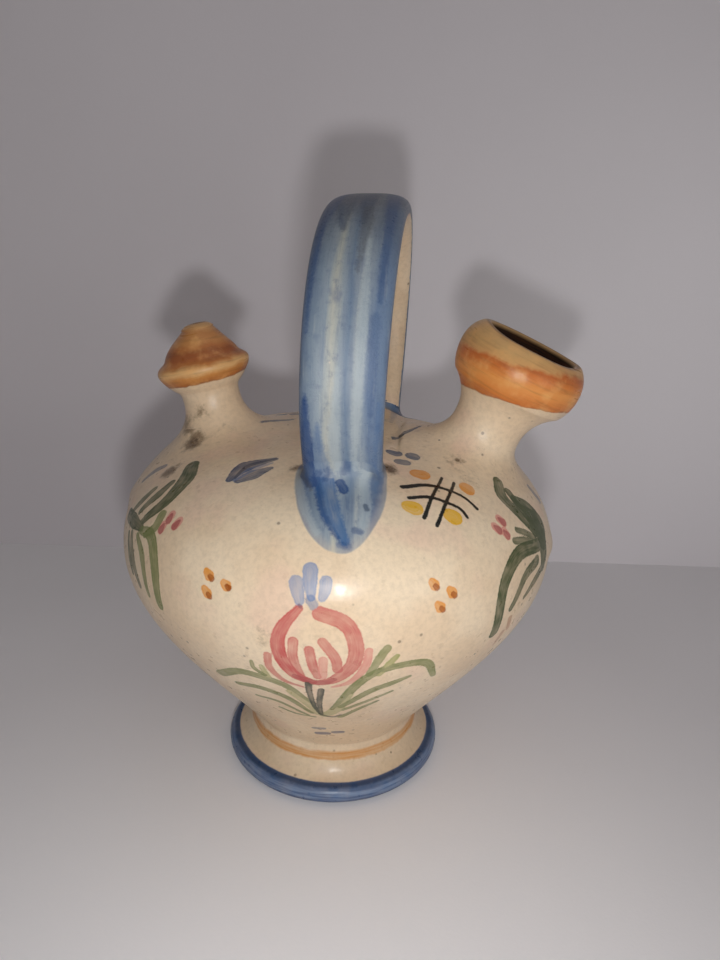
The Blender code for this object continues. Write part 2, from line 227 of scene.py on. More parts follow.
@dataclass(frozen=True)
class BodyOutline:
    """The thrown body's sizes in millimetres, and the lines that they give."""

    foot_radius: float = 29.0
    foot_roll: float = 2.4
    foot_flare: float = 3.4
    foot_floor: float = 7.5
    wall: float = 4.0
    waist_radius: float = 22.0
    waist_height: float = 13.0
    belly_radius: float = 53.0
    belly_height: float = 63.0
    top: float = 90.0

    def stand(self) -> np.ndarray:
        """The underside, the rolled rim and the flare, from the axis up to the waist."""
        roll = arc((self.foot_radius - self.foot_roll, self.foot_roll), self.foot_roll, -90.0, 85.0, 24)
        neck = (self.waist_radius, self.waist_height)
        flare = bezier((neck, (neck[0] + 0.1 * self.foot_flare, neck[1] - self.foot_flare),
                        (roll[-1][0] - self.foot_flare, roll[-1][1] + 0.3 * self.foot_flare), roll[-1]), 40)
        return np.concatenate([[(0.0, 0.0)], roll, flare[::-1][1:]])

    def bottom(self) -> np.ndarray:
        """The bowl's rounded bottom, from the axis out to the waist."""
        return bezier(((0.0, self.foot_floor), (0.5 * self.waist_radius, self.foot_floor),
                       (0.86 * self.waist_radius, 0.7 * self.foot_floor + 0.3 * self.waist_height),
                       (self.waist_radius, self.waist_height)), 80)

    def bowl(self) -> np.ndarray:
        """From the waist up to the belly."""
        spread = self.belly_radius - self.waist_radius
        rise = self.belly_height - self.waist_height
        return bezier(((self.waist_radius, self.waist_height),
                       (self.waist_radius + 0.48 * spread, self.waist_height + 0.40 * rise),
                       (self.belly_radius, self.belly_height - 0.28 * rise),
                       (self.belly_radius, self.belly_height)), 600)

    def dome(self) -> np.ndarray:
        """From the belly over the shoulder to the axis."""
        rise = self.top - self.belly_height
        return bezier(((self.belly_radius, self.belly_height),
                       (self.belly_radius, self.belly_height + 0.72 * rise),
                       (0.66 * self.belly_radius, self.top), (0.0, self.top)), 600)

    def shoulder_height(self, reach: float) -> float:
        """How high the shoulder's face lies at a distance from the axis."""
        line = self.dome()[::-1]
        return float(np.interp(reach, line[:, 0], line[:, 1]))


class BodySurface:
    """The body's outer face, looked up by the length walked up it from the waist."""

    def __init__(self, outline: BodyOutline) -> None:
        """Joins the outline's parts, wears their corner at the waist round and measures them."""
        self.outline = outline
        stand = outline.stand()
        whole = np.concatenate([stand, outline.bowl()[1:], outline.dome()[1:]])
        fine = evenly(whole, 0.05)
        self.walked = walked_along(fine) - walked_along(stand)[-1]
        worn = np.clip(1.5 - np.abs(self.walked) / 2.0, 0.0, 1.0)[:, None]
        self.line = worn * blurred(fine, 9, "same") + (1.0 - worn) * fine
        along = heading(self.line)
        self.normal = columns(along[:, 1], -along[:, 0])
        self.belly = walked_along(outline.bowl())[-1]
        closed = evenly(np.concatenate([whole, [(0.0, 0.0)]]), 1.0)
        self.face = Chart((0.0, 56.0), (64.0, 108.0), 0.3, lambda flat: distance_to_outline(flat, closed))

    def at(self, walked: np.ndarray) -> np.ndarray:
        """Radius and height of the face at lengths walked."""
        return read_off(walked, self.walked, self.line)

    def normal_at(self, walked: np.ndarray) -> np.ndarray:
        """The face's outward direction, as radius and height."""
        return unit(read_off(walked, self.walked, self.normal))

    def walked_at(self, reach: np.ndarray | float) -> np.ndarray:
        """Lengths walked to where the shoulder is this far from the axis."""
        above = self.walked >= self.belly
        return np.interp(-np.asarray(reach), -self.line[above, 0], self.walked[above])

    def depth(self, points: np.ndarray) -> np.ndarray:
        """How deep points lie under the body's outer face, negative outside."""
        return -self.face.at(columns(girth(points), points[:, 2]))


@dataclass(frozen=True)
class Stance:
    """Where a neck stands on the shoulder and how far its axis leans in the XZ plane."""

    reach: float
    height: float
    lean: float

    def into(self, points: np.ndarray) -> np.ndarray:
        """Body points turned into the neck's own frame, its axis along Z."""
        x, z = swung(points[:, 0] - self.reach, points[:, 2] - self.height, -self.lean)
        return columns(x, points[:, 1], z)

    def out(self, points: np.ndarray) -> np.ndarray:
        """Points of the neck's own frame turned back into the body's."""
        x, z = swung(points[:, 0], points[:, 2], self.lean)
        return columns(x + self.reach, points[:, 1], z + self.height)


# Node trees
class Term:
    """A node's output, which can be added, taken away and multiplied like a number."""

    def __init__(self, nodes: Nodes, socket: bpy.types.NodeSocket) -> None:
        """Keeps the socket and the tree that it belongs to."""
        self.nodes = nodes
        self.socket = socket

    def __add__(self, second: Term | float) -> Term:
        """The sum."""
        return self.nodes.math("ADD", self, second)

    def __sub__(self, second: Term | float) -> Term:
        """The difference."""
        return self.nodes.math("SUBTRACT", self, second)

    def __mul__(self, second: Term | float) -> Term:
        """The product."""
        return self.nodes.math("MULTIPLY", self, second)

    def other(self, name: str | int) -> Term:
        """Another output of the same node."""
        return Term(self.nodes, self.socket.node.outputs[name])


class Nodes:
    """A node tree, with short ways to add to it."""

    def __init__(self, tree: bpy.types.NodeTree) -> None:
        """Keeps the tree."""
        self.tree = tree

    def put(self, value: object, socket: bpy.types.NodeSocket) -> None:
        """Links a term to an input, or gives the input a value of its own."""
        if isinstance(value, Term):
            self.tree.links.new(value.socket, socket)
        else:
            socket.default_value = value

    def add(self, kind: str, inputs: dict | None = None, output: str | int = 0, **choices: object) -> Term:
        """Adds a node.

        Args:
            kind: the node's type.
            inputs: for each input, by name or index, a term to link or a value.
            output: which of its outputs is wanted.
            choices: properties to set before the inputs.

        Returns:
            The output.
        """
        made = self.tree.nodes.new(kind)
        for name, value in choices.items():
            setattr(made, name, value)
        for name, value in (inputs or {}).items():
            self.put(value, made.inputs[name])
        return Term(self, made.outputs[output])

    def math(self, operation: str, first: Term | float, second: Term | float = 0.0) -> Term:
        """The result of one Math node."""
        return self.add("ShaderNodeMath", {0: first, 1: second}, operation=operation)

    def vector(self, operation: str, first: Term, second: object) -> Term:
        """The result of one Vector Math node, its second input a vector or, to scale by, a number."""
        place = "Scale" if operation == "SCALE" else 1
        return self.add("ShaderNodeVectorMath", {0: first, place: second}, operation=operation)

    def split(self, vector: Term) -> list[Term]:
        """A vector's three parts."""
        made = self.add("ShaderNodeSeparateXYZ", {0: vector})
        return [made.other(axis) for axis in range(3)]

    def joined(self, x: Term, y: Term | float, z: Term | float = 0.0) -> Term:
        """A vector made of its parts."""
        return self.add("ShaderNodeCombineXYZ", {0: x, 1: y, 2: z})


class SweptTree(Nodes):
    """A Geometry Nodes tree that carries a section along a guide line, its sizes as named inputs.

    The guide is a chain of points. A grid with one row for each of them becomes the face.
    """

    def __init__(self, name: str, sizes: dict[str, int | float]) -> None:
        """Starts the tree with its inputs and its grid.

        Args:
            name: the tree's name.
            sizes: defaults of the inputs that it has of its own.
        """
        super().__init__(bpy.data.node_groups.new(name, "GeometryNodeTree"))
        for way in ("INPUT", "OUTPUT"):
            self.tree.interface.new_socket("Geometry", in_out=way, socket_type="NodeSocketGeometry")
        self.names: dict[str, str] = {}
        for size, value in {**sizes, "Map From": 0.0, "Map To": 1.0, "Finish": None}.items():
            kind = {int: "Int", float: "Float"}.get(type(value), "Material")
            made = self.tree.interface.new_socket(size, in_out="INPUT", socket_type="NodeSocket" + kind)
            if value is not None:
                made.default_value = value
            self.names[size] = made.identifier
        self.inlet = self.tree.nodes.new("NodeGroupInput")
        self.outlet = self.tree.nodes.new("NodeGroupOutput")
        rows = self.add("GeometryNodeAttributeDomainSize", {0: self.size("Geometry")}, component="MESH")
        self.grid = self.add("GeometryNodeMeshGrid", {"Size X": 1.0, "Size Y": 1.0,
                                                      "Vertices X": self.size("Steps") + 1.0,
                                                      "Vertices Y": rows})
        self.position = self.add("GeometryNodeInputPosition")
        self.round_part, along, _ = self.split(self.position)
        self.row = self.math("ROUND", (along + 0.5) * (rows - 1.0))

    def size(self, name: str) -> Term:
        """A named input."""
        return Term(self, self.inlet.outputs[name])

    def guide(self, kind: str, value: Term) -> Term:
        """What the guide line carries at each grid point's row."""
        return self.add("GeometryNodeSampleIndex", {0: self.size("Geometry"), "Value": value,
                                                    "Index": self.row}, data_type=kind, domain="POINT")

    def carried(self, name: str, kind: str = "FLOAT_VECTOR") -> Term:
        """A named attribute of the guide line at each grid point's row."""
        found = self.add("GeometryNodeInputNamedAttribute", {"Name": name}, data_type=kind)
        shown = [socket for socket in found.socket.node.outputs
                 if socket.enabled and socket.name == "Attribute"]
        return self.guide(kind, Term(self, shown[0]))

    def finish(self, places: Term, turn: Term) -> None:
        """Moves the grid's points, maps it for its finish, welds it and gives it its material.

        Args:
            places: where each point goes.
            turn: the angle round the section at each point.
        """
        low = self.size("Map From")
        across, along, _ = self.split(self.grid.other("UV Map"))
        stored = (("OFBake", "FLOAT2", "CORNER",
                   self.joined(across, along * (self.size("Map To") - low) + low)),
                  ("walked", "FLOAT", "POINT", self.carried("walked", "FLOAT")),
                  ("section", "FLOAT_VECTOR", "POINT",
                   self.joined(self.math("SINE", turn), self.math("COSINE", turn))))
        made = self.grid
        for name, kind, domain, value in stored:
            made = self.add("GeometryNodeStoreNamedAttribute", {0: made, "Name": name}, data_type=kind,
                            domain=domain)
            inputs = made.socket.node.inputs
            self.put(value, next(socket for socket in inputs if socket.enabled and socket.name == "Value"))
        for kind, inputs in (("SetPosition", {"Position": places}),
                             ("MergeByDistance", {"Distance": 0.000002}),
                             ("SetShadeSmooth", {}), ("RealizeInstances", {}),
                             ("SetMaterial", {"Material": self.size("Finish")})):
            made = self.add("GeometryNode" + kind, {0: made, **inputs})
        self.put(made, self.outlet.inputs[0])

    def make(self, name: str, base: bpy.types.Mesh, sizes: dict) -> bpy.types.Object:
        """Runs the tree over a guide line and keeps what comes out as a plain mesh.

        Args:
            name: the new piece's name.
            base: the guide line.
            sizes: values for the named inputs.

        Returns:
            An object at the origin with the plain mesh.
        """
        carrier = placed(bpy.data.objects.new(name + "_guide", base))
        shaping = carrier.modifiers.new("shape", "NODES")
        shaping.node_group = self.tree
        for size, value in sizes.items():
            shaping[self.names[size]] = value
        bpy.context.view_layer.update()
        graph = bpy.context.evaluated_depsgraph_get()
        mesh = bpy.data.meshes.new_from_object(carrier.evaluated_get(graph), preserve_all_data_layers=True,
                                               depsgraph=graph)
        mesh.name = name
        bpy.data.objects.remove(carrier)
        return placed(bpy.data.objects.new(name, mesh))


def placed(made: bpy.types.Object) -> bpy.types.Object:
    """Puts an object in the scene."""
    bpy.context.scene.collection.objects.link(made)
    return made


def potters_wheel() -> SweptTree:
    """The tree that turns an outline in the XZ plane about Z, finer at the front where asked."""
    tree = SweptTree("potters_wheel", {"Steps": 64, "Front Density": 0.0, "Reach": 0.0, "Height": 0.0,
                                       "Lean": 0.0})
    turn = tree.round_part * math.tau
    turn = turn - tree.size("Front Density") * tree.math("SINE", turn)
    radius, _, height = tree.split(tree.guide("FLOAT_VECTOR", tree.position))
    thrown = tree.joined(radius * tree.math("SINE", turn), radius * (tree.math("COSINE", turn) * -1.0),
                         height)
    tilted = tree.add("ShaderNodeVectorRotate", {"Vector": thrown, "Angle": tree.size("Lean")},
                      rotation_type="Y_AXIS")
    stand = tree.joined(tree.size("Reach"), 0.0, tree.size("Height"))
    tree.finish(tree.vector("ADD", tilted, stand), turn)
    return tree


def pulled_strap() -> SweptTree:
    """The tree that carries a strap's rounded section along a route."""
    tree = SweptTree("pulled_strap", {"Steps": 96, "Width": 0.0165, "Thickness": 0.0062})
    turn = tree.round_part * -math.tau
    offsets = []
    for side, wave, power, span in (("across", "SINE", WIDE_POWER, "Width"),
                                    ("outward", "COSINE", THIN_POWER, "Thickness")):
        swing = tree.math(wave, turn)
        drawn = tree.math("POWER", tree.math("ABSOLUTE", swing), power) * tree.math("SIGN", swing)
        offsets.append(tree.vector("SCALE", tree.carried(side), drawn * (tree.size(span) * 0.5)))
    middle = tree.guide("FLOAT_VECTOR", tree.position)
    tree.finish(tree.vector("ADD", middle, tree.vector("ADD", *offsets)), turn)
    return tree


# Meshes as arrays
def fetched(data: bpy.types.bpy_prop_collection, part: str, width: int) -> np.ndarray:
    """One quantity of each item in a collection, as rows of this many numbers."""
    found = np.empty(len(data) * width, np.float32)
    data.foreach_get(part, found)
    return (found.reshape(-1, width) if width > 1 else found).astype(float)


def points_of(piece: bpy.types.Object) -> np.ndarray:
    """A piece's points in millimetres."""
    return fetched(piece.data.vertices, "co", 3) / MM


def set_points(piece: bpy.types.Object, points: np.ndarray) -> None:
    """Moves a piece's points, given in millimetres."""
    piece.data.vertices.foreach_set("co", (points * MM).astype(np.float32).ravel())
    piece.data.update()


def kept(piece: bpy.types.Object, name: str) -> np.ndarray:
    """A number or a vector that each point of a piece carries."""
    attribute = piece.data.attributes[name]
    part, width = ("vector", 3) if attribute.data_type == "FLOAT_VECTOR" else ("value", 1)
    return fetched(attribute.data, part, width)


def keep(mesh: bpy.types.Mesh, name: str, values: np.ndarray) -> None:
    """Gives each point of a mesh a number, a vector or a colour, which its material can read."""
    old = mesh.attributes.get(name)
    if old:
        mesh.attributes.remove(old)
    width = 1 if values.ndim == 1 else values.shape[1]
    kind, part = {1: ("FLOAT", "value"), 3: ("FLOAT_VECTOR", "vector"), 4: ("FLOAT_COLOR", "color")}[width]
    made = mesh.attributes.new(name, kind, "POINT")
    made.data.foreach_set(part, np.ascontiguousarray(values, np.float32).ravel())


def line_mesh(points: np.ndarray, extras: dict[str, np.ndarray]) -> bpy.types.Mesh:
    """A chain of points in millimetres as a mesh, with what else each point carries, by name."""
    mesh = bpy.data.meshes.new("guide")
    mesh.from_pydata((points * MM).tolist(), [(i, i + 1) for i in range(len(points) - 1)], [])
    for name, values in extras.items():
        keep(mesh, name, values)
    return mesh


# Painting
class Paint(Enum):
    """The painter's colours, as they look on the fired glaze, and SHADE for painted shade, in 8-bit sRGB."""

    BLUE = (118, 140, 178)
    BLUE_WET = (78, 110, 158)
    INK_BLUE = (50, 74, 106)
    NAVY = (30, 66, 118)
    NAVY_DARK = (30, 46, 74)
    PINK = (197, 96, 90)
    PINK_PALE = (219, 146, 132)
    PINK_DEEP = (164, 70, 72)
    PLUM = (104, 74, 92)
    GREEN = (120, 128, 74)
    GREEN_PALE = (160, 160, 98)
    GREEN_DARK = (74, 84, 50)
    GREEN_BLACK = (50, 60, 50)
    YELLOW = (230, 176, 40)
    ORANGE = (226, 146, 48)
    RUST = (160, 82, 22)
    BLACK = (28, 28, 24)
    SLATE = (98, 102, 124)
    STEEL = (58, 98, 146)
    DEEP = (40, 62, 92)
    MIST = (172, 182, 186)
    # Not a paint: painted shade, laid in the tongue's groove and along the strap's face.
    SHADE = (84, 88, 96)


def linear(colour: tuple) -> tuple:
    """An 8-bit sRGB colour as the linear one that a shader works with."""
    return tuple((part / 255.0 / 12.92) if part <= 10.3 else ((part / 255.0 + 0.055) / 1.055) ** 2.4
                 for part in colour)


class Layer(Enum):
    """The order in which strokes lie on each other."""

    UNDER = "under"
    OVER = "over"
    TOP = "top"


UNDER, OVER, TOP = Layer


def rounded(path: np.ndarray, steps: int) -> np.ndarray:
    """A path drawn as one smooth curve through its points, with so many steps between them."""
    ahead = np.concatenate([2 * path[:1] - path[1:2], path, 2 * path[-1:] - path[-2:-1]])
    places = np.linspace(0.0, len(path) - 1.0, (len(path) - 1) * steps + 1)
    span = np.minimum(places.astype(int), len(path) - 2)
    t = (places - span)[:, None]
    a, b, c, d = (ahead[span + shift] for shift in range(4))
    return 0.5 * (2 * b + (c - a) * t + (2 * a - 5 * b + 4 * c - d) * t ** 2
                  + (3 * b - a - 3 * c + d) * t ** 3)


@dataclass(frozen=True)
class Stroke:
    """One touch of the brush: its path in millimetres and its widths in hundredths of a millimetre."""

    paint: Paint
    path: tuple
    widths: tuple
    layer: Layer = UNDER
    load: float = 0.85
    crisp: float = 1.0

    def measure(self, points: np.ndarray) -> tuple[np.ndarray, np.ndarray, np.ndarray]:
        """Where points lie on the stroke.

        Args:
            points: places in the motif's own plane.

        Returns:
            The distance to the stroke's edge, the length along it and the offset across it.
        """
        line = rounded(np.array(self.path, float), 5 if len(self.path) > 2 else 3)
        marks = np.linspace(0.0, 1.0, len(self.widths))
        half = np.interp(np.linspace(0.0, 1.0, len(line)), marks, np.array(self.widths, float) / 200.0)
        sides = np.diff(line, axis=0)
        length = np.maximum(np.linalg.norm(sides, axis=1), 1e-6)
        offset = points[:, None] - line[None, :-1]
        part = np.clip((offset * sides).sum(axis=2) / length ** 2, 0.0, 1.0)
        gap = np.linalg.norm(offset - part[..., None] * sides, axis=2)
        edge = gap - (half[:-1] + part * np.diff(half))
        nearest = edge.argmin(axis=1)
        spot = np.arange(len(points)), nearest
        turn = sides[nearest, 0] * offset[spot][:, 1] - sides[nearest, 1] * offset[spot][:, 0]
        return (edge[spot] * self.crisp, walked_along(line)[nearest] + part[spot] * length[nearest],
                np.sign(turn) * gap[spot])


@dataclass(frozen=True)
class Motif:
    """Strokes round one place on the body, in degrees round it and length walked up it, and again behind."""

    azimuth: float
    walked: float
    strokes: tuple


class Canvas:
    """The layers of strokes on one piece, worked out at its points."""

    reach = 2.5

    def __init__(self, count: int) -> None:
        """Starts with nothing painted on so many points."""
        self.edges = {layer: np.full(count, self.reach) for layer in Layer}
        self.tints = {layer: np.tile((0.5, 0.5, 0.5, 0.0), (count, 1)) for layer in Layer}
        self.brushes = {layer: np.zeros((count, 3)) for layer in Layer}
        self.touches = 0

    def stroke(self, made: Stroke, flat: np.ndarray, chosen: np.ndarray) -> None:
        """Lays one stroke on the points that it reaches.

        Args:
            made: the stroke.
            flat: the chosen points in the stroke's plane.
            chosen: which of the piece's points they are.
        """
        self.touches += 1
        path = np.array(made.path, float)
        margin = self.reach + max(made.widths) / 200.0 + 1.0
        inside = ((flat > path.min(axis=0) - margin) & (flat < path.max(axis=0) + margin)).all(axis=1)
        if not inside.any():
            return
        edge, along, across = made.measure(flat[inside])
        index = chosen[inside]
        nearer = edge < self.edges[made.layer][index]
        index = index[nearer]
        self.edges[made.layer][index] = edge[nearer]
        self.tints[made.layer][index] = (*linear(made.paint.value), made.load)
        self.brushes[made.layer][index] = columns(along[nearer], across[nearer], 7.3 * self.touches)

    def motif(self, made: Motif, azimuth: np.ndarray, walked: np.ndarray, radius: np.ndarray) -> None:
        """Lays a motif in front, and the same one on the far side.

        Args:
            made: the motif.
            azimuth: degrees round the body of each point.
            walked: length walked up it.
            radius: distance from its axis.
        """
        for turn in (0.0, 180.0):
            swing = (azimuth - made.azimuth - turn + 180.0) % 360.0 - 180.0
            flat = columns(np.radians(swing) * radius, walked - made.walked)
            chosen = np.where((np.abs(flat) < (34.0, 55.0)).all(axis=1) & (np.abs(swing) < 60.0))[0]
            for stroke in made.strokes:
                self.stroke(stroke, flat[chosen], chosen)

    def keep_on(self, mesh: bpy.types.Mesh, painted: np.ndarray) -> None:
        """Stores the layers as attributes of a mesh, its other points left bare.

        Args:
            mesh: the mesh.
            painted: which of its points the canvas covers.
        """
        bare = Canvas(len(mesh.vertices))
        for layer in Layer:
            for part, empty, filled in (("_edge", bare.edges, self.edges), ("_tint", bare.tints, self.tints),
                                        ("_brush", bare.brushes, self.brushes)):
                empty[layer][painted] = filled[layer]
                keep(mesh, layer.value + part, empty[layer])


def wet(paint: Paint, path: tuple, widths: tuple, layer: Layer, load: float) -> Stroke:
    """A stroke whose edges ran while the glaze was wet."""
    return Stroke(paint, path, widths, layer, load, 0.30)


def berry(start: tuple, end: tuple) -> tuple:
    """An orange berry: a yellow touch that pools to rust at its lower end."""
    x, y = end[0] - start[0], end[1] - start[1]
    spots = [(start[0] + part * x, start[1] + part * y) for part in (0.20, 0.62, 0.72, 0.98)]
    return (Stroke(Paint.ORANGE, (spots[0], spots[1]), (150, 225)),
            Stroke(Paint.RUST, (spots[2], spots[3]), (110, 125), OVER))


def bud(start: tuple, end: tuple) -> tuple:
    """A pink bud: a pale touch that darkens at its lower end."""
    return (Stroke(Paint.PINK_PALE, (start, end), (215, 215)),
            Stroke(Paint.PINK_DEEP, (start, end), (90, 190), OVER, 0.7))


TULIP = Motif(3.5, 57.1, (
    Stroke(Paint.BLUE, ((-1.6, 14.9), (-1.5, 12.5), (-1.2, 9.8)), (300, 265, 160)),
    Stroke(Paint.BLUE, ((-4.2, 12.4), (-3.9, 11.0), (-3.4, 9.1)), (280, 265, 205), load=0.7),
    Stroke(Paint.BLUE, ((1.5, 12.8), (1.4, 11.3), (0.9, 9.8)), (250, 235, 160), load=0.75),
    Stroke(Paint.BLUE_WET, ((-1.3, 9.3), (-0.6, 8.2)), (205, 190), OVER, 0.55, 0.6),
    Stroke(Paint.PLUM, ((-3.4, 8.2), (-3.1, 7.8)), (70, 60), TOP, 0.5),
    Stroke(Paint.PINK, ((-3.4, 7.6), (-6.6, 3.4), (-7.6, -0.4), (-6.8, -4.9), (-4.4, -9.4), (-1.1, -11.6)),
           (160, 265, 300, 295, 265, 205), load=0.95),
    Stroke(Paint.PINK, ((0.5, 6.8), (4.9, 5.2), (7.0, 2.5), (7.7, -1.8), (6.6, -6.1), (3.2, -10.4),
                        (0.1, -11.8)),
           (295, 315, 310, 315, 310, 265, 190), OVER, 0.8),
    Stroke(Paint.PINK, ((-9.8, -4.0), (-9.6, -7.9), (-6.9, -12.1), (-3.1, -14.1)),
           (175, 160, 115, 60), load=0.75),
    Stroke(Paint.PINK_PALE, ((10.2, -1.4), (9.5, -6.0), (6.6, -11.2), (2.9, -13.4)), (160, 190, 145, 70),
           load=0.85),
    Stroke(Paint.PINK, ((-4.5, 0.5), (-4.6, -3.9), (-3.0, -9.9)), (210, 205, 145), OVER, 0.75),
    Stroke(Paint.PINK, ((-1.4, -1.3), (-0.7, -6.1), (0.1, -9.5)), (205, 210, 160), load=0.8),
    Stroke(Paint.PINK, ((1.2, 0.8), (3.6, -3.1), (4.1, -6.8)), (205, 220, 205), load=0.75),
    Stroke(Paint.PINK_PALE, ((1.3, -3.8), (1.1, -9.4)), (190, 175), OVER, 0.75),
    Stroke(Paint.PINK_DEEP, ((-4.6, -9.6), (-1.5, -11.4), (1.2, -11.7), (3.4, -10.2)), (115, 205, 205, 115),
           TOP, 0.55),
    Stroke(Paint.GREEN_BLACK, ((-1.9, -12.1), (-1.9, -16.5), (-1.2, -25.0), (0.0, -30.5)),
           (165, 130, 105, 85),
           TOP, 0.9),
    Stroke(Paint.GREEN_BLACK, ((0.6, -14.9), (-0.1, -22.1), (0.0, -30.5)), (145, 130, 85), TOP, 0.85),
    Stroke(Paint.GREEN_BLACK, ((0.0, -30.5), (2.5, -31.7), (4.1, -30.1)), (85, 75, 75), TOP, 0.7),
    Stroke(Paint.GREEN, ((-22.4, -16.8), (-17.2, -12.4), (-11.6, -12.4), (-6.3, -15.0), (-2.5, -22.0),
                         (-0.9, -29.1)),
           (275, 250, 230, 215, 160, 105)),
    Stroke(Paint.GREEN, ((-18.4, -19.3), (-12.8, -18.1), (-6.8, -21.1), (-2.1, -29.5)), (175, 215, 195, 105),
           OVER, 0.85),
    Stroke(Paint.GREEN, ((-14.3, -23.7), (-8.9, -24.7), (-3.1, -31.4)), (105, 120, 85)),
    Stroke(Paint.GREEN, ((-9.4, -28.6), (-6.1, -31.2), (-1.6, -32.4)), (85, 90, 85), OVER, 0.85),
    Stroke(Paint.GREEN_PALE, ((-6.0, -17.0), (-2.6, -23.0), (-0.7, -30.0)), (195, 250, 140), load=0.6),
    Stroke(Paint.GREEN, ((2.7, -26.4), (7.2, -13.8), (11.6, -8.2), (17.1, -6.4), (22.6, -7.2),
                         (24.6, -13.0)),
           (195, 220, 215, 195, 230, 140)),
    Stroke(Paint.GREEN, ((4.3, -24.3), (10.3, -16.2), (15.3, -13.0), (19.1, -11.1)), (140, 195, 185, 85),
           OVER, 0.85),
    Stroke(Paint.GREEN, ((4.6, -26.4), (10.7, -20.7), (15.5, -17.0)), (120, 110, 75)),
    Stroke(Paint.GREEN, ((4.1, -31.7), (8.1, -26.1), (12.3, -21.8)), (140, 120, 75), OVER, 0.85),
    Stroke(Paint.GREEN_PALE, ((0.6, -30.6), (3.4, -26.0), (6.5, -17.0)), (250, 285, 140), load=0.65),
    Stroke(Paint.GREEN, ((-13.5, -6.9), (-13.1, -9.3), (-10.9, -11.2)), (85, 110, 105), OVER, 0.8),
    Stroke(Paint.GREEN_PALE, ((-11.4, -8.0), (-10.3, -11.9)), (120, 160), load=0.7),
    Stroke(Paint.GREEN, ((13.8, -1.0), (12.4, -3.5), (10.2, -8.8)), (175, 195, 140), OVER, 0.75),
    Stroke(Paint.GREEN_PALE, ((15.9, -3.4), (14.5, -5.3), (12.4, -9.0)), (120, 160, 120)),
    Stroke(Paint.SLATE, ((-2.2, -42.3), (-0.4, -42.2)), (170, 180), TOP, 0.7),
    Stroke(Paint.SLATE, ((-1.5, -46.9), (0.3, -46.6)), (230, 230), TOP, 0.85),
    Stroke(Paint.SLATE, ((2.5, -45.3), (3.8, -45.1)), (210, 200), TOP, 0.85),
))

BERRIES_LEFT = Motif(-20.1, 66.6, (
    *berry((-2.4, 2.2), (-0.4, 0.7)), *berry((2.0, 0.8), (3.7, -0.2)), *berry((-2.3, -1.2), (-0.4, -2.9))))

BERRIES_RIGHT = Motif(30.6, 66.6, (
    *berry((-2.3, 2.7), (-1.0, 0.9)), *berry((1.4, 0.5), (2.9, -1.3)), *berry((-1.4, -2.0), (0.1, -3.7))))

LATTICE = Motif(38.5, 85.9, (
    Stroke(Paint.BLACK, ((-5.3, 5.3), (-0.1, 4.9), (3.7, 2.5), (6.6, -0.8), (8.1, -4.6)),
           (125, 105, 80, 70, 75),
           TOP, 1.2),
    Stroke(Paint.BLACK, ((-5.9, 1.8), (-1.7, 1.3), (1.3, -0.9), (3.7, -3.4), (4.2, -5.8)),
           (90, 90, 80, 75, 75),
           TOP, 1.2),
    Stroke(Paint.BLACK, ((5.5, 5.9), (-0.8, 1.1), (-5.7, -3.9)), (66, 72, 84), TOP, 1.2),
    Stroke(Paint.BLACK, ((7.4, 3.5), (1.3, -1.2), (-3.9, -6.1)), (72, 70, 80), TOP, 1.2),
    Stroke(Paint.ORANGE, ((0.7, 9.1), (1.6, 8.4)), (330, 380), load=0.9),
    Stroke(Paint.ORANGE, ((9.2, 1.3), (9.6, 0.6)), (320, 350), load=0.88),
    Stroke(Paint.YELLOW, ((-7.1, -0.7), (-6.5, -1.1)), (350, 390), load=0.92),
    Stroke(Paint.YELLOW, ((0.5, -4.4), (1.0, -5.0)), (350, 380), load=0.92),
))

TRIO_BLUE = Motif(42.7, 102.6, (
    Stroke(Paint.INK_BLUE, ((-0.7, 2.6), (0.1, 1.8)), (280, 280), load=0.8),
    Stroke(Paint.INK_BLUE, ((2.4, -0.6), (2.8, -1.4)), (280, 280), load=0.8),
    Stroke(Paint.INK_BLUE, ((-1.8, -1.9), (-1.0, -2.6)), (270, 270), load=0.8)))

LEAF_BLUE = Motif(-29.3, 93.9, (
    Stroke(Paint.INK_BLUE, ((-1.8, -4.5), (-2.0, 0.5), (1.7, 6.2)), (200, 460, 150), load=0.85),
    Stroke(Paint.INK_BLUE, ((0.4, -4.0), (2.0, -1.2), (3.6, 2.4)), (220, 380, 130), load=0.8),
    Stroke(Paint.BLUE_WET, ((-0.4, -4.2), (0.2, 0.0), (2.4, 4.4)), (120, 200, 70), OVER, 0.5),
    Stroke(Paint.NAVY_DARK, ((-1.0, -3.6), (-1.6, 1.2), (1.8, 6.4)), (70, 120, 60), TOP, 0.6)))

SPRAY_LEFT = Motif(-56.3, 69.3, (
    Stroke(Paint.GREEN_DARK, ((0.9, 18.9), (5.9, 15.1), (8.0, 8.6), (4.8, 2.0)),
           (345, 440, 370, 190), load=0.95),
    Stroke(Paint.GREEN_DARK, ((3.2, 12.8), (3.3, 8.8), (1.1, 3.2)), (190, 275, 150), OVER, 0.85),
    Stroke(Paint.GREEN_DARK, ((-0.3, 9.1), (-1.5, 5.4), (-3.9, 1.0)), (160, 220, 130), OVER, 0.85),
    Stroke(Paint.GREEN, ((10.6, 6.0), (11.0, 3.1), (8.6, 0.4)), (255, 265, 150)),
    Stroke(Paint.GREEN, ((6.2, 0.6), (10.4, 1.2), (13.6, -0.9), (16.4, -5.6), (17.8, -12.5)),
           (190, 285, 300, 305, 230), OVER, 0.9),
    Stroke(Paint.GREEN, ((5.2, -0.9), (10.1, -4.2), (13.4, -11.8)), (140, 235, 135)),
    Stroke(Paint.GREEN_DARK, ((1.5, -1.8), (5.1, -6.9), (9.0, -11.3)), (160, 260, 160), OVER, 0.8),
    Stroke(Paint.GREEN_DARK, ((-0.8, -2.7), (2.6, -7.2), (4.8, -9.9)), (140, 220, 135)),
    Stroke(Paint.GREEN_DARK, ((-6.0, 0.0), (0.0, 0.6), (6.0, 1.0)), (300, 360, 160), load=0.9),
))

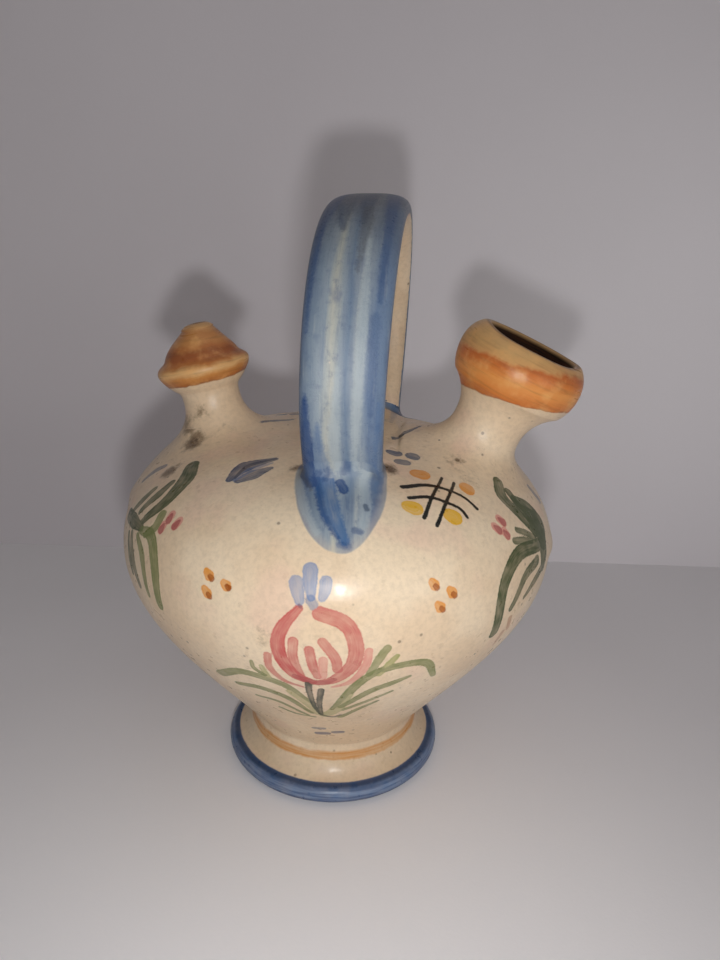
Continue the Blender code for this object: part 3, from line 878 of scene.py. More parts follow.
BUDS_LEFT = Motif(-39.3, 74.4, (
    *bud((-0.6, 2.0), (-0.5, 0.8)), *bud((2.7, 1.5), (2.3, 0.3)), *bud((-1.2, -0.7), (-1.3, -1.7))))

SPRAY_RIGHT = Motif(69.4, 67.3, (
    Stroke(Paint.GREEN_DARK, ((-0.7, 17.4), (-4.8, 13.9), (-4.4, 8.5), (-1.8, 3.3)),
           (255, 330, 310, 255), load=0.95),
    Stroke(Paint.GREEN_DARK, ((-1.2, 14.1), (-2.0, 9.8), (0.2, 5.5), (1.6, 0.6)), (230, 255, 595, 540),
           OVER, 0.95),
    Stroke(Paint.GREEN_DARK, ((-9.1, 6.3), (-6.2, 4.6), (-2.9, 2.2)), (145, 165, 145), OVER, 0.85),
    Stroke(Paint.GREEN_DARK, ((-11.8, 4.5), (-8.7, 3.7), (-5.0, 2.2)), (165, 165, 125), OVER, 0.85),
    Stroke(Paint.GREEN_DARK, ((-2.3, 0.4), (-11.6, 1.7), (-18.0, -1.7), (-20.3, -7.0), (-19.7, -14.6)),
           (300, 340, 330, 300, 270), load=0.95),
    Stroke(Paint.GREEN_DARK, ((-4.3, -2.5), (-11.2, -4.0), (-16.2, -9.5)), (255, 230, 165), OVER, 0.9),
    Stroke(Paint.GREEN_DARK, ((-1.6, -5.5), (-6.8, -7.0), (-11.0, -8.8)), (210, 190, 100), load=0.85),
    Stroke(Paint.GREEN_DARK, ((-1.6, 11.5), (0.6, 8.0), (2.4, 3.0)), (320, 560, 700), load=0.95),
    Stroke(Paint.GREEN_DARK, ((2.0, 5.0), (1.0, 0.0), (0.0, -5.0)), (460, 575, 350), load=0.95),
))

BUDS_RIGHT = Motif(52.8, 75.8, (
    *bud((1.2, 1.7), (1.8, 0.7)), *bud((-1.4, 0.5), (-0.8, -0.5)), *bud((0.6, -1.2), (1.0, -2.2))))

TWIG_LEFT = Motif(-68.9, 79.8, (
    Stroke(Paint.SLATE, ((-1.0, -3.6), (0.0, 0.0), (1.6, 2.8)), (145, 205, 160), load=0.7),))

TWIG_RIGHT = Motif(83.4, 75.3, (
    Stroke(Paint.SLATE, ((-0.5, 2.5), (0.0, 0.0), (1.3, -2.3)), (145, 205, 160), load=0.7),))

RUST_MARKS = Motif(52.4, 52.2, (
    Stroke(Paint.RUST, ((0.3, 2.7), (1.5, -0.8)), (150, 110), load=0.45),
    Stroke(Paint.RUST, ((-0.3, -1.2), (-0.9, -5.1)), (160, 60), load=0.45)))

DARK_TOUCH = Motif(75.0, 109.8, (
    Stroke(Paint.INK_BLUE, ((-2.6, 1.7), (0.8, 0.2), (7.9, -3.3)), (115, 145, 60), load=0.8),))

BODY_MOTIFS = (TULIP, BERRIES_LEFT, BERRIES_RIGHT, LATTICE, TRIO_BLUE, LEAF_BLUE, SPRAY_LEFT, BUDS_LEFT,
               SPRAY_RIGHT, BUDS_RIGHT, TWIG_LEFT, TWIG_RIGHT, RUST_MARKS, DARK_TOUCH)

# Touches on the strap and on the tongue below it, the SHADE ones painted shade: across, and up from the
# tongue's middle
STRAP_STROKES = (
    wet(Paint.NAVY, ((-6.0, 3.0), (-6.4, 9.0), (-6.9, 16.0), (-7.1, 25.0)),
        (330, 330, 240, 60), UNDER, 0.80),
    wet(Paint.STEEL, ((-3.9, 5.0), (-4.6, 12.0), (-4.8, 20.0)), (420, 330, 90), UNDER, 0.45),
    wet(Paint.MIST, ((-1.2, 9.0), (-1.6, 18.0), (-1.0, 30.0)), (160, 230, 90), UNDER, 0.55),
    wet(Paint.MIST, ((1.9, 8.0), (2.6, 20.0), (3.0, 38.0), (2.6, 54.0)), (80, 170, 190, 60), UNDER, 0.60),
    wet(Paint.STEEL, ((6.6, 2.0), (7.0, 12.0), (7.0, 24.0)), (230, 180, 90), UNDER, 0.35),
    wet(Paint.NAVY, ((5.2, 39.0), (5.4, 31.0), (5.4, 22.0)), (200, 170, 60), UNDER, 0.34),
    wet(Paint.NAVY, ((0.6, 12.0), (0.2, 9.0), (-0.4, 6.0)), (90, 190, 90), OVER, 0.45),
    wet(Paint.NAVY, ((-3.6, 9.5), (-3.2, 6.5), (-3.9, 3.5)), (70, 150, 120), OVER, 0.55),
    # These dark strokes widen towards the crest, partly brushwork and partly painted shade on the strap's
    # top.
    wet(Paint.NAVY, ((-7.2, 36.0), (-6.9, 52.0), (-6.0, 66.0), (-5.0, 80.0)),
        (60, 150, 260, 340), OVER, 0.55),
    wet(Paint.NAVY, ((5.8, 42.0), (5.9, 58.0), (5.4, 76.0), (5.0, 96.0)), (90, 190, 300, 380), UNDER, 0.45),
    wet(Paint.DEEP, ((-2.6, 56.0), (-3.2, 66.0), (-3.0, 84.0)), (120, 380, 560), UNDER, 0.55),
    wet(Paint.DEEP, ((1.2, 58.0), (1.0, 70.0), (0.8, 90.0)), (80, 330, 460), OVER, 0.50),
    wet(Paint.SHADE, ((1.4, 64.0), (1.7, 58.0), (1.3, 47.0)), (200, 230, 60), TOP, 0.50),
)
TONGUE_EDGE = ((-8.6, 12.4), (-9.6, 11.0), (-10.3, 7.5), (-10.3, 2.5), (-9.4, -3.4), (-7.6, -8.0),
               (-4.6, -11.4),
               (-1.6, -12.6), (1.2, -12.3), (3.6, -10.2), (6.0, -6.8), (7.9, -2.4), (8.8, 3.0),
               (9.0, 9.0), (8.8, 12.4))
TONGUE_STROKES = (
    wet(Paint.STEEL, ((-4.0, 9.0), (-4.0, 3.0), (-3.2, -2.5), (-2.0, -6.6), (0.0, -10.4)),
        (300, 420, 430, 320, 160), UNDER, 0.80),
    wet(Paint.STEEL, ((6.6, 9.0), (6.8, 4.5), (6.4, 1.0)), (120, 240, 100), UNDER, 0.45),
    wet(Paint.MIST, ((3.0, 8.0), (3.8, 2.0), (4.0, -3.0), (3.0, -8.5)), (120, 200, 240, 160), UNDER, 0.55),
    wet(Paint.MIST, ((-9.4, 8.5), (-9.2, 3.0), (-8.0, -3.5), (-5.6, -8.8)),
        (150, 210, 190, 120), OVER, 0.55),
    wet(Paint.NAVY, ((-4.7, 8.0), (-5.3, 3.0), (-5.0, -2.0), (-3.4, -6.8), (-1.2, -10.2)),
        (150, 150, 150, 120, 60), OVER, 0.60),
    wet(Paint.SHADE, ((-7.6, 9.0), (-7.3, 5.0), (-6.8, 1.0)), (70, 130, 60), OVER, 0.60),
    Stroke(Paint.NAVY, ((-1.0, 2.8), (-0.3, 1.0)), (190, 200), TOP, 0.85, 0.6),
    Stroke(Paint.DEEP, ((3.9, -2.7), (4.2, -3.4)), (110, 110), TOP, 0.65, 0.6),
    Stroke(Paint.NAVY, ((1.6, -8.0), (3.0, -8.4)), (130, 110), TOP, 0.50, 0.5),
    Stroke(Paint.NAVY, ((-1.2, -11.0), (0.6, -11.2)), (130, 140), TOP, 0.40, 0.5),
)

# Old stains, and broad faint painted shade round the mouth's root and between the spout and the strap: centre
# and reach in millimetres, and how much of it there is
STAIN_AND_SHADE_SPOTS = (((-36.2, -3.6, 89.6), 3.6, 0.62), ((-34.2, -5.0, 84.4), 3.8, 0.62),
              ((-33.0, -11.5, 85.2), 3.4, 0.55),
              ((-36.2, -20.5, 82.4), 2.8, 0.52), ((-33.2, -6.2, 93.5), 3.0, 0.30),
              ((-24.5, -1.0, 89.5), 3.5, 0.22),
              ((13.9, -24.6, 87.2), 2.1, 0.70), ((-5.4, -27.6, 87.0), 1.8, 0.55),
              ((28.3, -13.9, 86.2), 0.8, 0.95),
              ((28.3, -13.9, 86.2), 3.2, 0.30), ((29.5, -18.5, 85.0), 6.5, 0.24),
              ((20.0, -17.5, 87.6), 5.0, 0.16),
              ((-25.0, -12.0, 87.0), 8.0, 0.08), ((-7.5, -52.3, 60.3), 3.2, 0.18),
              ((-11.9, -51.5, 65.9), 2.4, 0.16),
              ((35.4, 6.2, 84.0), 4.0, 0.25), ((-38.0, 8.0, 84.0), 4.0, 0.25))

# The necks' bands: stops from 0 at the lower edge of the orange to 2, with a colour each. On the spout the
# pale stops at 0.36 and 0.46 are a painted highlight along the drip disc's rim.
MOUTH_BANDS = ((0.00, (156, 84, 30)), (0.06, (206, 112, 38)), (0.30, (226, 140, 62)), (0.52, (232, 152, 74)),
               (0.76, (216, 122, 46)), (0.96, (196, 98, 32)), (1.06, (212, 158, 98)), (1.30, (212, 166, 106)),
               (1.62, (216, 170, 110)))
SPOUT_BANDS_AND_HIGHLIGHT = ((0.00, (140, 76, 28)), (0.08, (186, 110, 44)), (0.24, (204, 134, 62)), (0.36, (226, 178, 118)),
               (0.46, (224, 172, 110)), (0.58, (196, 116, 46)), (0.72, (158, 80, 28)), (0.88, (150, 74, 24)),
               (1.00, (182, 104, 42)), (1.16, (200, 134, 70)), (1.40, (190, 122, 60)),
               (1.60, (206, 156, 100)))


def soiling_and_shade_at(points: np.ndarray, joins: np.ndarray) -> np.ndarray:
    """How much old stains and painted shade darken the glaze at points, from their places and their distances
    to the nearest join.
    """
    found = 0.10 * np.exp(-(joins / 2.5) ** 2)
    for centre, reach, much in STAIN_AND_SHADE_SPOTS:
        away = np.linalg.norm(points - np.array(centre), axis=1)
        found = np.maximum(found, much * np.exp(-(away / reach) ** 2))
    return found


# Finishes
class GlazeNodes(Nodes):
    """A material's node tree, with short ways to add what a glaze is mixed from."""

    def __init__(self, name: str, roughness: float) -> None:
        """Starts a material that is this matt where nothing changes it."""
        self.material = bpy.data.materials.new(name)
        self.material.use_nodes = True
        super().__init__(self.material.node_tree)
        self.shader = self.tree.nodes["Principled BSDF"]
        self.shader.inputs["Roughness"].default_value = roughness
        self.shader.inputs["Specular IOR Level"].default_value = 0.36
        self.place = self.vector("SCALE", self.add("ShaderNodeTexCoord", output="Object"), 1000.0)

    def carried(self, name: str, output: str = "Fac") -> Term:
        """An attribute of the piece."""
        return self.add("ShaderNodeAttribute", output=output, attribute_name=name)

    def noise(self, vector: Term, scale: float | tuple, detail: float = 2.0, rough: float = 0.5,
              shift: tuple | None = None) -> Term:
        """A noise pattern's value, about 0.5 in the middle.

        Args:
            vector: where it is looked up.
            scale: how fine it is, or how fine along each axis.
            detail: how many finer patterns are laid over it.
            rough: how strong they are.
            shift: how far it is moved.

        Returns:
            The value.
        """
        if shift:
            vector = self.vector("ADD", vector, shift)
        if isinstance(scale, tuple):
            vector, scale = self.vector("MULTIPLY", vector, scale), 1.0
        return self.add("ShaderNodeTexNoise", {"Vector": vector, "Scale": scale, "Detail": detail,
                                               "Roughness": rough}, "Fac")

    def remap(self, value: Term, start: tuple, end: tuple = (0.0, 1.0), smooth: bool = True) -> Term:
        """A value carried from one range to another and kept inside it, its ends eased if smooth."""
        return self.add("ShaderNodeMapRange", {0: value, 1: start[0], 2: start[1], 3: end[0], 4: end[1]},
                        interpolation_type="SMOOTHSTEP" if smooth else "LINEAR")

    def blend(self, part: Term, first: Term | tuple, second: Term | tuple) -> Term:
        """Two colours blended, each a term or a colour in 8-bit sRGB."""
        first, second = ((*linear(colour), 1.0) if isinstance(colour, tuple) else colour
                         for colour in (first, second))
        return self.add("ShaderNodeMix", {0: part, 6: first, 7: second}, 2, data_type="RGBA")

    def ramp(self, value: Term, stops: tuple) -> Term:
        """A colour looked up along a row of stops, each a place from 0 to 1 and a colour."""
        made = self.add("ShaderNodeValToRGB", {0: value})
        row = made.socket.node.color_ramp.elements
        while len(row) < len(stops):
            row.new(0.5)
        for mark, (place, colour) in zip(row, stops):
            mark.position = place
            mark.color = (*linear(colour), 1.0)
        return made

    def spots(self, size: float, chance: float, span: tuple, depth: float, wobble: Term | float) -> Term:
        """Round spots in some of a pattern's cells.

        Args:
            size: how fine the cells are.
            chance: the share of cells left empty.
            span: radii where a spot starts to fade and where it ends.
            depth: how strong a spot is.
            wobble: what is added to the distance from a spot's middle.

        Returns:
            The spots' cover.
        """
        cells = self.add("ShaderNodeTexVoronoi", {"Vector": self.place, "Scale": size}, "Distance")
        picked = self.add("ShaderNodeSeparateColor", {0: cells.other("Color")})
        return self.remap(cells + wobble, span, (depth, 0.0)) * self.math("GREATER_THAN", picked, chance)

    def finish(self, colour: Term, relief: Term, rough: Term | None = None,
               depth: float = 0.00022) -> bpy.types.Material:
        """Links colour, relief and roughness to the shader.

        Args:
            colour: the colour.
            relief: the relief, from 0 to 1.
            rough: the roughness, if it varies.
            depth: how deep the relief is, in metres.

        Returns:
            The material.
        """
        self.put(colour, self.shader.inputs["Base Color"])
        bump = self.add("ShaderNodeBump", {"Strength": 1.0, "Distance": depth, "Height": relief})
        self.put(bump, self.shader.inputs["Normal"])
        if rough is not None:
            self.put(rough, self.shader.inputs["Roughness"])
        return self.material


@dataclass(frozen=True)
class CreamGround:
    """The fired white glaze under the painting: warm cream, cloudy, with specks, pits, old stains and painted
    shade near the joins.
    """

    pale: tuple = (240, 218, 188)
    warm: tuple = (232, 206, 174)
    pink: tuple = (235, 203, 178)
    dirt_and_shade: tuple = (122, 99, 74)
    pit: tuple = (84, 62, 46)
    worn: tuple = (188, 166, 138)

    def colour(self, nodes: GlazeNodes) -> Term:
        """The ground's colour."""
        ground = self.pale
        grime_and_shade = nodes.carried("grime_and_shade")
        clouds = ((0.045, 3.0, 0.55, None, (0.38, 0.62), 1.0, self.warm),
                  (0.06, 2.0, 0.5, (40.0, 11.0, 5.0), (0.55, 0.72), 0.7, self.pink),
                  (0.9, 4.0, 0.65, None, (0.35, 0.75), 0.16, self.dirt_and_shade))
        # The last two layers follow the carried attribute: old stains, and soft painted shade round the roots
        # of the mouth, the spout and the strap.
        dirt_and_shade = ((0.30, 6.0, 0.75, (3.0, 70.0, 9.0), (0.64, 0.98), 0.85, self.dirt_and_shade),
                (1.3, 4.0, 0.7, (30.0, 7.0, 2.0), (0.90, 1.12), 0.75, self.pit))
        for layer in (*clouds, *dirt_and_shade):
            scale, detail, rough, shift, span, much, tone = layer
            pattern = nodes.noise(nodes.place, scale, detail, rough, shift)
            if layer in dirt_and_shade:
                pattern = pattern + grime_and_shade
            ground = nodes.blend(nodes.remap(pattern, span, (0.0, much)), ground, tone)
        fine = nodes.noise(nodes.place, 0.9, 4.0, 0.65) - 0.5
        for size, chance, spread, depth in ((0.20, 0.60, 0.42, 0.62), (0.11, 0.45, 0.30, 0.8)):
            reach = spread * size
            spots = nodes.spots(size, chance, (0.5 * reach, 1.3 * reach), depth, fine * (0.35 * size))
            ground = nodes.blend(spots, ground, self.pit)
        low = nodes.remap(nodes.carried("walked"), (-10.0, 6.0), (0.32, 0.0))
        return nodes.blend(low, ground, self.worn)

    def relief(self, nodes: GlazeNodes) -> Term:
        """The glaze's faint waves and orange peel, from 0 to 1."""
        waves = nodes.noise(nodes.place, 0.12)
        peel = nodes.noise(nodes.place, 1.6, 3.0, 0.6)
        rings = nodes.noise(nodes.place, (0.05, 0.05, 0.9))
        return waves * 0.8 + (peel * 0.10 + rings * 0.06)


@dataclass(frozen=True)
class Brushwork:
    """Strokes laid over a ground, translucent and streaked along the way that the brush went."""

    soft: float = 0.16
    wander: float = 0.20

    def over(self, nodes: GlazeNodes, ground: Term) -> Term:
        """Lays every layer of strokes over a colour."""
        wobble = (nodes.noise(nodes.place, 1.5, 3.0, 0.6) - 0.5) * (2.0 * self.wander)
        for layer in Layer:
            edge = nodes.carried(layer.value + "_edge") + wobble
            cover = nodes.remap(edge, (self.soft, -self.soft))
            brush = nodes.carried(layer.value + "_brush", "Vector")
            hairs = nodes.noise(brush, (0.22, 2.4, 1.0), 3.0, 0.6)
            pools = nodes.noise(brush, (0.35, 0.5, 1.0), 1.0)
            rim = nodes.remap(edge, (-0.45, -0.05), (0.0, 0.14))
            tint = nodes.carried(layer.value + "_tint", "Color")
            thick = nodes.remap(hairs, (0.30, 0.70), (0.78, 1.04), False) + (
                rim + nodes.remap(pools, (0.3, 0.7), (-0.12, 0.12), False))
            part = nodes.add("ShaderNodeClamp", {0: tint.other("Alpha") * thick * cover})
            ground = nodes.blend(part, ground, tint)
        return ground


@dataclass(frozen=True)
class WateryBlue:
    """The strap's blue: thin wet cobalt dragged along the handle, so that it dried in stripes, and painted
    shade darkening it towards the crest.
    """

    stripes: tuple = (
        (0.00, (74, 104, 134)), (0.10, (72, 102, 138)), (0.20, (112, 134, 154)), (0.32, (140, 156, 168)),
        (0.38, (180, 182, 172)), (0.44, (138, 154, 166)), (0.53, (94, 122, 150)), (0.61, (150, 162, 170)),
        (0.67, (132, 150, 166)), (0.74, (86, 116, 150)), (0.84, (94, 122, 154)), (1.00, (116, 138, 160)))
    drags: tuple = (
        ((9.0, 0.10, 1.0), 4.0, 0.65, (0.42, 0.74), 0.42, (58, 92, 134)),
        ((6.0, 0.06, 2.0), 3.0, 0.6, (0.56, 0.76), 0.40, (180, 186, 182)),
        ((1.9, 0.16, 3.0), 3.0, 0.6, (0.54, 0.75), 0.55, (48, 84, 130)),
        ((4.5, 0.42, 7.0), 4.0, 0.7, (0.52, 0.72), 0.45, (64, 92, 128)))
    # The colour of the painted shade at the crest.
    crest: tuple = (38, 56, 82)

    def colour(self, nodes: GlazeNodes) -> Term:
        """The colour, by the place across the strap from -1 to 1 and along it in millimetres."""
        streak = nodes.carried("streak", "Vector")
        drift = (nodes.noise(streak, (1.6, 0.028, 1.0)) - 0.5) * 0.55
        across, along, _ = nodes.split(streak)
        blue = nodes.ramp(nodes.remap(across + drift, (-1.25, 1.25), smooth=False), self.stripes)
        for scale, detail, rough, span, much, tone in self.drags:
            dragged = nodes.noise(streak, scale, detail, rough)
            blue = nodes.blend(nodes.remap(dragged, span, (0.0, much)), blue, tone)
        clouds = nodes.remap(nodes.noise(streak, (1.4, 0.10, 5.0), 3.0, 0.6), (0.3, 0.6), (0.55, 1.0))
        # Painted shade: the blue darkens towards the crest, whose top faces away from the light.
        return nodes.blend(nodes.remap(along, (40.0, 74.0), (0.0, 0.80)) * clouds, blue, self.crest)


@dataclass(frozen=True)
class PaintedGlaze:
    """The body's finish: cream ground, the foot's two bands, the tongue's blue and the strokes.

    rim_edge is the length walked up to the inner edge of the foot's blue rim.
    """

    roughness: float = 0.33
    rim_edge: float = -9.55
    blue: tuple = (42, 78, 124)
    rim_highlight_blue: tuple = (126, 148, 180)
    orange: tuple = (206, 138, 58)

    def foot(self, nodes: GlazeNodes, colour: Term, uneven: Term, ragged: Term) -> Term:
        """Lays the foot's orange band and its blue rim, with a painted highlight along the rim's crest.

        Args:
            nodes: the material to build in.
            colour: the colour below them.
            uneven: how far the brush strayed.
            ragged: the pattern that it strayed by.

        Returns:
            The banded colour.
        """
        walked = nodes.carried("walked")
        height = walked + uneven
        streaks = nodes.noise(nodes.place, (0.10, 0.10, 1.9), 3.0)
        band = nodes.remap(height, (-4.5, -3.8)) * nodes.remap(height, (-2.4, -1.5), (1.0, 0.0))
        band = band * nodes.remap(streaks, (0.3, 0.7), (0.45, 0.95), False)
        colour = nodes.blend(band, colour, self.orange)
        rim = nodes.remap(walked + uneven * 0.35, (self.rim_edge - 0.2, self.rim_edge + 0.2), (1.0, 0.0))
        rim = rim * nodes.remap(walked, (-17.6, -17.1)) * nodes.remap(ragged, (0.3, 0.7), (0.86, 1.0), False)
        # Painted highlight: a paler blue along the crest of the rolled rim, broken up by the wash's streaks.
        ridge = nodes.remap(nodes.math("ABSOLUTE", walked + (3.4 - self.rim_edge)), (0.5, 2.4), (0.34, 0.0))
        cobalt = nodes.blend(ridge * nodes.remap(streaks, (0.35, 0.65), (0.4, 2.4)),
                             self.blue, self.rim_highlight_blue)
        colour = nodes.blend(rim, colour, cobalt)
        dark = nodes.math("ABSOLUTE", height - (self.rim_edge - 0.9))
        return nodes.blend(nodes.remap(dark, (0.2, 1.1), (0.55, 0.0)), colour, Paint.NAVY_DARK.value)

    def make(self, name: str) -> bpy.types.Material:
        """Builds the material."""
        nodes = GlazeNodes(name, self.roughness)
        ground = CreamGround()
        ragged = nodes.noise(nodes.place, 0.28, 3.0, 0.6)
        uneven = ragged - 0.5
        colour = self.foot(nodes, ground.colour(nodes), uneven, ragged)
        soft = nodes.carried("tongue") + uneven * 0.35
        cover = nodes.remap(soft, (0.20, -0.30)) * nodes.remap(soft, (-0.1, -2.6), (0.66, 0.93))
        colour = nodes.blend(cover, colour, WateryBlue().colour(nodes))
        rough = nodes.remap(nodes.noise(nodes.place, 0.5, 3.0), (0.3, 0.7),
                            (self.roughness - 0.07, self.roughness + 0.07), False)
        return nodes.finish(Brushwork().over(nodes, colour), ground.relief(nodes), rough + cover * 0.22)


@dataclass(frozen=True)
class BandedGlaze:
    """A neck's finish: cream below, then orange and ochre bands brushed on as it turned, and painted shade
    down the throat.
    """

    bands: tuple
    roughness: float = 0.31
    brown: tuple = (112, 62, 26)
    honey: tuple = (240, 182, 112)
    # The near-black of the painted shade in the throat.
    inside: tuple = (20, 15, 13)

    def make(self, name: str) -> bpy.types.Material:
        """Builds the material; its bands are stops from 0 at the lower edge to 2, with a colour each."""
        nodes = GlazeNodes(name, self.roughness)
        ground = CreamGround()
        band, throat = nodes.carried("band"), nodes.carried("throat")
        uneven = ((nodes.noise(nodes.place, 0.16, 3.0, 0.6) - 0.5) * 0.34
                  + (nodes.noise(nodes.place, 0.55, 3.0, 0.6) - 0.5) * 0.10)
        brushed = nodes.ramp((band + uneven) * 0.5, tuple((0.5 * at, tone) for at, tone in self.bands))
        hairs = nodes.noise(nodes.carried("streak", "Vector"), (0.09, 1.1, 1.0), 4.0, 0.6)
        brushed = nodes.blend(nodes.remap(hairs, (0.46, 0.80), (0.0, 0.38)), brushed, self.brown)
        patches = nodes.noise(nodes.place, 0.22, 3.0, 0.6, (9.0, 1.0, 4.0))
        brushed = nodes.blend(nodes.remap(patches, (0.46, 0.74), (0.0, 0.5)), brushed, self.honey)
        cover = nodes.remap(band + uneven * 0.5, (-0.012, 0.03)) * 0.95
        colour = nodes.blend(cover, ground.colour(nodes), brushed)
        lip = nodes.remap(nodes.carried("lip"), (0.15, 0.9), (1.0, 0.0)) * 0.6
        colour = nodes.blend(lip, colour, self.brown)
        # Painted shade: below the lip the throat turns near-black, with brown streaks, as if the hollow lay
        # in shadow.
        dark = nodes.blend(nodes.remap(hairs, (0.3, 0.7), (0.0, 0.5)), self.inside, self.brown)
        colour = nodes.blend(nodes.remap(throat, (0.0, 1.0)), colour, dark)
        rough = nodes.remap(hairs, (0.3, 0.7), (self.roughness - 0.05, self.roughness + 0.08), False)
        grain = nodes.noise(nodes.place, 2.6, 3.0, 0.7) * 0.22
        return nodes.finish(colour, ground.relief(nodes) + grain, rough + throat * 0.6)


@dataclass(frozen=True)
class StrapGlaze:
    """The handle's finish: watery blue on its outer face over cream, with darker touches and pits."""

    roughness: float = 0.33
    pit: tuple = (206, 196, 182)

    def make(self, name: str) -> bpy.types.Material:
        """Builds the material."""
        nodes = GlazeNodes(name, self.roughness)
        ground = CreamGround()
        edge = nodes.carried("painted") + (nodes.noise(nodes.place, 0.5, 3.0, 0.6) - 0.5) * 0.35
        colour = nodes.blend(nodes.remap(edge, (-0.06, 0.10)) * 0.93, ground.colour(nodes),
                             WateryBlue().colour(nodes))
        colour = Brushwork().over(nodes, colour)
        colour = nodes.blend(nodes.spots(0.30, 0.86, (0.05, 0.10), 0.85, 0.0), colour, self.pit)
        peel = nodes.noise(nodes.place, 1.9, 4.0, 0.7)
        rough = nodes.remap(peel, (0.3, 0.7), (self.roughness - 0.10, self.roughness + 0.12), False)
        return nodes.finish(colour, ground.relief(nodes) + peel * 0.55, rough)


@dataclass(frozen=True)
class PaperFinish:
    """A plain matt sheet, very slightly mottled, with painted light: a glow that only the camera sees,
    brighter towards one place.
    """

    colour: tuple
    palest: tuple
    lift: tuple
    one_sided: bool = False
    spread: float = 190.0
    shade: float = 0.94

    def make(self, name: str) -> bpy.types.Material:
        """Builds the material; a one-sided sheet doesn't hide what stands in front of its face."""
        nodes = GlazeNodes(name, 0.85)
        light = linear(self.colour)
        cloud = nodes.remap(nodes.noise(nodes.place, 0.006), (0.3, 0.7))
        darker = tuple(self.shade * part for part in light)
        colour = nodes.add("ShaderNodeMix", {0: cloud, 6: (*light, 1.0), 7: (*darker, 1.0)}, 2,
                           data_type="RGBA")
        # Painted light: a glow seen by camera rays alone, strongest at the palest spot and fading over the
        # spread.
        away = nodes.vector("DISTANCE", nodes.place, self.palest).other("Value")
        pale = nodes.remap(away, (0.0, self.spread), self.lift[::-1])
        seen = nodes.add("ShaderNodeLightPath", output="Is Camera Ray")
        glow = nodes.add("ShaderNodeEmission", {"Strength": pale * seen})
        face = nodes.add("ShaderNodeAddShader", {0: Term(nodes, nodes.shader.outputs[0]), 1: glow})
        if self.one_sided:
            behind = nodes.add("ShaderNodeNewGeometry", output="Backfacing")
            clear = nodes.add("ShaderNodeBsdfTransparent")
            face = nodes.add("ShaderNodeMixShader", {0: behind, 1: face, 2: clear})
        nodes.put(face, nodes.tree.nodes["Material Output"].inputs["Surface"])
        return nodes.finish(colour, nodes.noise(nodes.place, 1.2, 3.0), depth=0.00003)


# Necks
@dataclass(frozen=True)
class Neck:
    """What stands on the shoulder: its stance, distances round its root, and the bore through it."""

    stance: Stance
    form: Chart
    blend: float

    def distance(self, points: np.ndarray) -> np.ndarray:
        """How far points in the body's frame lie from the neck's outer form."""
        own = self.stance.into(points)
        return self.form.at(columns(girth(own), own[:, 2]))

    def reach_at(self, points: np.ndarray) -> np.ndarray:
        """How broadly the skin runs up the neck."""
        return np.full(len(points), self.blend)


